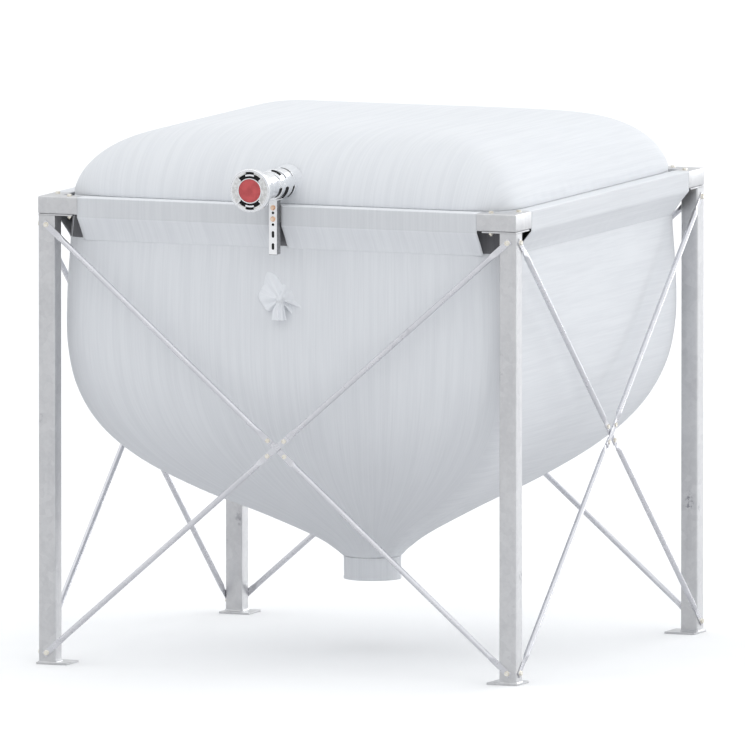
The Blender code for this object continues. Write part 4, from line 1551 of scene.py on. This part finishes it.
    def make_cloth_collar(self) -> None:
        """Cloth collar sewn into the dome and drawn tight on the pipe."""
        levels = smooth_profile(((0.885, 0.068), (0.900, 0.062), (0.912, 0.0575), (0.922, 0.0555),
                                 (0.9295, 0.0550)), 4)
        rows, grain = closed_rows(levels, 96, self.collar_spot)
        collar = make_sheet("pipe_cloth_collar", rows, grain, CLOTH, self.cloth, self.axis())


@dataclass
class CouplingBracket:
    """Perforated channel on the front rail that carries the coupling on a saddle plate."""

    width: float = 0.033
    lip: float = 0.0012
    front: float = 1.035
    bottom: float = 1.645
    wall: float = 0.003
    saddle: float = 0.060
    saddle_thickness: float = 0.004
    saddle_top: float = COUPLING_HEIGHT - COUPLING_BODY - GAP
    hole: float = 0.011
    openings: tuple[Flat, ...] = ((1.807, 0.011), (1.761, 0.011), (1.723, 0.026), (1.676, 0.026))
    foot_depth: float = 0.0040
    foot_height: float = 0.0022
    bolts: Flat = (1.827, 1.783)
    steps: int = 8

    def web(self) -> Draft:
        """Front plate of the channel with its holes and slots cut through."""
        draft = Draft()
        top, half, radius = self.saddle_top - self.saddle_thickness, self.width / 2, self.hole / 2
        between = [(a[0] + b[0]) / 2 for a, b in zip(self.openings, self.openings[1:])]
        edges = [top, *between, self.bottom]
        for (z, height), high, low in zip(self.openings, edges, edges[1:]):
            rise = height / 2 - radius
            ring, frame_ring = [], []
            for k in range(4 * self.steps):
                a = 2 * math.pi * (k + 0.5) / (4 * self.steps)
                c, s = math.cos(a), math.sin(a)
                ring.append((radius * c, z + radius * s + math.copysign(rise, s)))
                edge_z = high - z if s > 0 else z - low
                t = min(half / abs(c), edge_z / abs(s))
                frame_ring.append((t * c, z + t * s))
            for corner in ((half, high), (-half, high), (-half, low), (half, low)):
                near = min(range(len(frame_ring)), key=lambda i: math.dist(frame_ring[i], corner))
                frame_ring[near] = corner
            y0, y1 = -self.front, -self.front + self.lip
            outer = [[(x, y, q) for x, q in frame_ring] for y in (y0, y1)]
            inner = [[(x, y, q) for x, q in ring] for y in (y0, y1)]
            draft.rows([outer[0], inner[0], inner[1], outer[1]], closed=True)
        return draft

    def build(self) -> None:
        """Makes the channel with its saddle, the flanges in a darker zinc that paints their shade, a
        near-black strip that paints the shade behind the holes and slots, and the bolts.
        """
        back, side = TUBE_WALL - HALF - GAP, self.width / 2 - self.wall / 2
        plate_bottom = self.saddle_top - self.saddle_thickness
        height, depth = plate_bottom - self.bottom, back + self.front - self.lip
        flanges = Draft()
        for x in (-side, side):
            flanges.prism(rounded_outline(self.wall, depth, 0.001, 3), 0.0, height,
                          place=Matrix.Translation((x, back - depth / 2, self.bottom)))
        below = (0.0, -self.front + self.foot_height, self.bottom - self.foot_height)
        flanges.prism(rounded_outline(self.width, self.foot_depth, 0.0008, 3), 0.0, self.foot_height, 0.0004,
                      Matrix.Translation(below))
        # The flanges get the darker zinc that paints their shade.
        make("bracket_flanges", flanges, SHADED_FLANGE, Side.FRONT.place())
        channel = self.web()
        channel.prism(rounded_outline(self.saddle, self.saddle, 0.006, 5), 0.0, self.saddle_thickness, 0.0006,
                      Matrix.Translation((0.0, -self.front, plate_bottom)))
        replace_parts(make("bracket_channel", channel, BRIGHT_ZINC, Side.FRONT.place()), "pipe_bracket")
        # Painted shade: a near-black strip behind the web's holes and slots.
        slot_shade = Draft()
        slot_shade.prism(rounded_outline(self.hole + 0.002, 0.0010, 0.0004, 2), 0.0, height - 0.004)
        behind = Matrix.Translation((0.0, -self.front + 0.0016, self.bottom + 0.002))
        make("bracket_slot_shade", slot_shade, DEEP_SHADE, Side.FRONT.place() @ behind)
        bolts = Draft()
        for i, z in enumerate(self.bolts):
            place = Matrix.Translation((0.0, -self.front, z)) @ OUTWARD @ Matrix.Rotation(0.4 * i, 4, "Z")
            bolts.add(Fasteners(flats=0.013).bolt(0.0055, 0.0014), place)
        make("bracket_bolts", bolts, BRACKET_ZINC, Side.FRONT.place())


@dataclass
class TiedSleeve:
    """Cloth sleeve on the front wall, gathered to a knot with a short skirt below it.

    The outline gives how far the folds reach in each direction, in degrees from the right. A ridge is
    given by its direction, height and width, and the skirt by distance out, height, radius and tilt.
    """

    shape: BagShape
    x: float = 0.006
    root_z: float = 1.4697
    knot_radius: float = 0.0135
    rise: float = 0.036
    cloth: float = 0.0012
    around: int = 160
    levels: int = 26
    outline: tuple[Flat, ...] = (
        (-90, 0.040), (-60, 0.086), (-45, 0.052), (-27, 0.096), (-10, 0.058), (20, 0.052), (60, 0.048),
        (95, 0.066), (126, 0.122), (150, 0.098), (178, 0.106), (200, 0.090), (221, 0.086), (245, 0.046),
        (270, 0.040))
    ridges: tuple[tuple[float, float, float], ...] = (
        (126, 0.0050, 10), (178, 0.0045, 9), (222, 0.0050, 9), (203, -0.0050, 8), (150, -0.0020, 11),
        (104, -0.0060, 9), (84, 0.0008, 8), (-27, 0.0060, 5), (-38, -0.0040, 6), (-60, 0.0055, 6),
        (-74, -0.0040, 6), (40, 0.0018, 9))
    skirt: tuple[tuple[float, ...], ...] = (
        (0.0375, 1.4640, 0.0132, 12), (0.0374, 1.4560, 0.0130, 2), (0.0370, 1.4470, 0.0150, 0),
        (0.0362, 1.4300, 0.0180, 0), (0.0354, 1.4120, 0.0205, 0), (0.0346, 1.3960, 0.0222, 0),
        (0.0342, 1.3830, 0.0236, 0))
    skirt_from: float = 1.452
    skirt_shift: float = 0.006
    length: float = 0.40
    buried: float = -0.002
    cord: float = 0.0018
    cord_pitch: float = 0.0030
    cord_radius: float = 0.0150
    cord_turns: int = 3
    cord_steps: int = 28

    @staticmethod
    def turned(degrees: float) -> float:
        """The same direction, between -90 and 270 degrees."""
        return (degrees + 90.0) % 360.0 - 90.0

    def reach(self, degrees: float) -> float:
        """How far the folds run out over the wall in one direction."""
        turned = self.turned(degrees)
        for (a0, r0), (a1, r1) in zip(self.outline, self.outline[1:]):
            if a0 <= turned <= a1:
                return r0 + (r1 - r0) * (turned - a0) / (a1 - a0)
        return self.outline[0][1]

    def lift(self, degrees: float, share: float) -> float:
        """Height of the fan over the wall, in one direction and at a share of the way out."""
        turned = self.turned(degrees)
        # The fan is full from about 92 to 246 degrees, and its rim is loose from about 168 to 240.
        full = ease((turned - 92.0) / 26.0) * ease((246.0 - turned) / 18.0)
        proud = self.rise * (1.0 - share) ** (2.1 - 1.25 * full)
        loose = ease((turned - 168.0) / 20.0) * ease((240.0 - turned) / 16.0)
        proud += 0.010 * loose * share ** 3
        fold = 0.0
        for direction, height, width in self.ridges:
            off = (degrees - direction + 180.0) % 360.0 - 180.0
            fold += height * math.exp(-(off / width) ** 2)
        return proud + fold * math.sin(math.pi * min(share * 0.92 + 0.10, 1.0)) ** 0.8 - 0.0012 * share ** 6

    def build(self) -> None:
        """Makes the gathered sleeve and the tie round its knot."""
        wall = self.shape.half_at(self.root_z)
        angles = [360.0 * k / self.around for k in range(self.around)]
        rows, runs = [], [0.0]
        for level in range(-1, self.levels):
            share = 1.0 - max(level, 0) / self.levels
            row = []
            for degrees in angles:
                a = math.radians(degrees)
                shrink = 0.94 if level < 0 else 1.0
                radius = self.knot_radius + (self.reach(degrees) - self.knot_radius) * share * shrink
                z = self.root_z - 0.004 * (1 - share) + radius * math.sin(a)
                out = self.buried if level < 0 else max(self.lift(degrees, share), self.buried)
                row.append((self.x + radius * math.cos(a), -self.shape.half_at(z) - out, z))
            rows.append(row)
        for out, z, radius, tilt in smooth_profile(self.skirt, 5):
            lean = math.radians(tilt)
            loose = ease((self.skirt_from - z) / 0.03)
            row = []
            for degrees in angles:
                a = math.radians(degrees)
                fold = (0.10 * (1 - loose) * math.cos(13 * a) + 0.26 * loose * math.cos(7 * a + 1.1)
                        + 0.10 * loose * math.cos(12 * a + 0.4))
                size = radius * (1 + fold)
                along = (1 - 0.45 * loose) * size * math.sin(a)
                row.append((self.x - self.skirt_shift * loose + size * math.cos(a),
                            -wall - out - along * math.cos(lean), z + along * math.sin(lean)))
            rows.append(row)
        for above, below in zip(rows, rows[1:]):
            runs.append(runs[-1] + math.dist(above[0], below[0]))
        grain = [[(k / self.around * self.length, run) for k in range(self.around + 1)] for run in runs]
        sleeve = make_sheet("gathered_sleeve", rows, grain, SLEEVE_CLOTH, self.cloth)
        tie = self.tie(wall)
        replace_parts(sleeve, "tied_sleeve")

    def tie(self, wall: float) -> bpy.types.Object:
        """Turns of thin cord round the knot."""
        rings = []
        for k in range(self.cord_turns * self.cord_steps + 1):
            a = 2 * math.pi * k / self.cord_steps
            ring = []
            for j in range(8):
                b = 2 * math.pi * j / 8
                reach = self.cord_radius + self.cord * math.cos(b)
                height = -0.004 + self.cord_pitch * k / self.cord_steps + self.cord * math.sin(b)
                ring.append((reach * math.cos(a), reach * math.sin(a), height))
            rings.append(ring)
        draft = Draft()
        draft.loft(rings)
        knot = Matrix.Translation((self.x, -wall - 0.0372, 1.4560))
        return make("sleeve_tie", draft, CLOTH, Side.FRONT.place() @ knot, Edge.SOFT)


@dataclass
class Studio:
    """Pale floor, soft light and the camera at the photograph's angle."""

    azimuth: float = 21.91
    elevation: float = 6.05
    distance: float = 129.6
    lens: float = 1600.0
    target: Point = (0.002, FRAME_BACK, 1.081)
    floor_reach: float = 90.0
    bounce: Colour = (0.72, 0.72, 0.73)
    around: float = 0.84
    overhead: float = 0.38
    glow: float = 3.2
    side: float = 0.15
    key_power: float = 14.0
    key_size: float = 4.0
    key_place: Point = (6.5, -2.5, 4.5)
    behind: Point = (0.39, 0.92, 0.04)
    front_right: Point = (0.62, -0.72, 0.30)

    def build(self) -> None:
        """Sets the studio up."""
        self.floor()
        self.world()
        self.lights()
        self.camera()

    def floor(self) -> None:
        """A wide pale floor."""
        draft, steps = Draft(), 6
        places = [self.floor_reach * (2 * k / steps - 1) for k in range(steps + 1)]
        draft.rows([[(x, y, 0.0) for x in places] for y in places])
        mesh = bpy.data.meshes.new("studio_floor")
        mesh.from_pydata(draft.points, [], draft.faces)
        material = bpy.data.materials.new("pale_floor")
        material.use_nodes = True
        sheet = NodeSheet(material.node_tree)
        shader = material.node_tree.nodes["Principled BSDF"]
        place = sheet.add("TexCoord").outputs["Object"]
        cloud = sheet.span(sheet.noise(place, 1.5, 3.0), 0.3, 0.7)
        plain = sheet.blend(cloud, (0.985, 0.985, 0.985), (1.0, 1.0, 1.0))
        seen = sheet.add("LightPath").outputs["Is Camera Ray"]
        sheet.feed(shader.inputs["Base Color"], sheet.blend(seen, self.bounce, plain))
        shader.inputs["Roughness"].default_value = 0.9
        shader.inputs["Specular IOR Level"].default_value = 0.2
        mesh.materials.append(material)
        floor = bpy.data.objects.new("studio_floor", mesh)
        bpy.context.scene.collection.objects.link(floor)

    def world(self) -> None:
        """White surround to the camera, and soft light, stronger from above, behind and front right."""
        world = bpy.data.worlds.new("studio")
        bpy.context.scene.world = world
        world.use_nodes = True
        sheet = NodeSheet(world.node_tree)
        world.node_tree.nodes.clear()
        way = sheet.add("TexCoord").outputs["Generated"]
        up = sheet.add("SeparateXYZ", {0: way}).outputs[2]
        level = sheet.span(up, 0.0, 1.0, self.around, self.around + self.overhead)
        behind = sheet.span(sheet.along(way, self.behind), 0.86, 0.99, 0.0, self.glow)
        side = sheet.span(sheet.along(way, self.front_right), 0.80, 0.97, 0.0, self.side)
        strength = sheet.sum("ADD", sheet.sum("ADD", level, behind), side)
        soft = sheet.add("Background", {"Color": (0.97, 0.985, 1.0), "Strength": strength})
        plain = sheet.add("Background", {"Color": (1.0, 1.0, 1.0), "Strength": 1.0})
        seen = sheet.add("LightPath").outputs["Is Camera Ray"]
        mixed = sheet.add("MixShader", {0: seen, 1: soft.outputs[0], 2: plain.outputs[0]})
        output = sheet.add("OutputWorld")
        sheet.feed(output.inputs[0], mixed.outputs[0])
        scene = bpy.context.scene
        scene.view_settings.view_transform = "Standard"
        scene.view_settings.look = "None"

    def lights(self) -> None:
        """A large, faint, soft light from the right."""
        data = bpy.data.lights.new("key_right", "AREA")
        data.shape = "SQUARE"
        data.size = self.key_size
        data.energy = self.key_power
        light = bpy.data.objects.new("key_right", data)
        light.location = self.key_place
        aim = Vector((0.0, FRAME_BACK, 1.1)) - light.location
        light.rotation_euler = aim.to_track_quat("-Z", "Y").to_euler()
        bpy.context.scene.collection.objects.link(light)

    def camera(self) -> None:
        """Long lens camera."""
        data = bpy.data.cameras.new("camera")
        data.lens = self.lens
        data.sensor_width = 36.0
        data.clip_start, data.clip_end = 1.0, 600.0
        camera = bpy.data.objects.new("camera", data)
        a, e = math.radians(self.azimuth), math.radians(self.elevation)
        away = Vector((math.sin(a) * math.cos(e), -math.cos(a) * math.cos(e), math.sin(e)))
        camera.location = Vector(self.target) + away * self.distance
        camera.rotation_euler = (-away).to_track_quat("-Z", "Y").to_euler()
        bpy.context.scene.collection.objects.link(camera)
        bpy.context.scene.camera = camera


def main() -> None:
    """Builds the silo's visible pieces in order, then the studio."""
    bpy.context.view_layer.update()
    shape = BagShape()
    for assembly in (SiloFrame(), DiagonalBraces(), Fasteners(), FabricBag(shape), ShadeBand(shape),
                     RailPockets(), RoofCover(shape), OutletSpout(shape), FillingCoupling(),
                     CouplingBracket(), TiedSleeve(shape), Studio()):
        assembly.build()


if __name__ == "__main__":
    logging.basicConfig(level=logging.INFO, format="%(name)s: %(message)s")
    main()
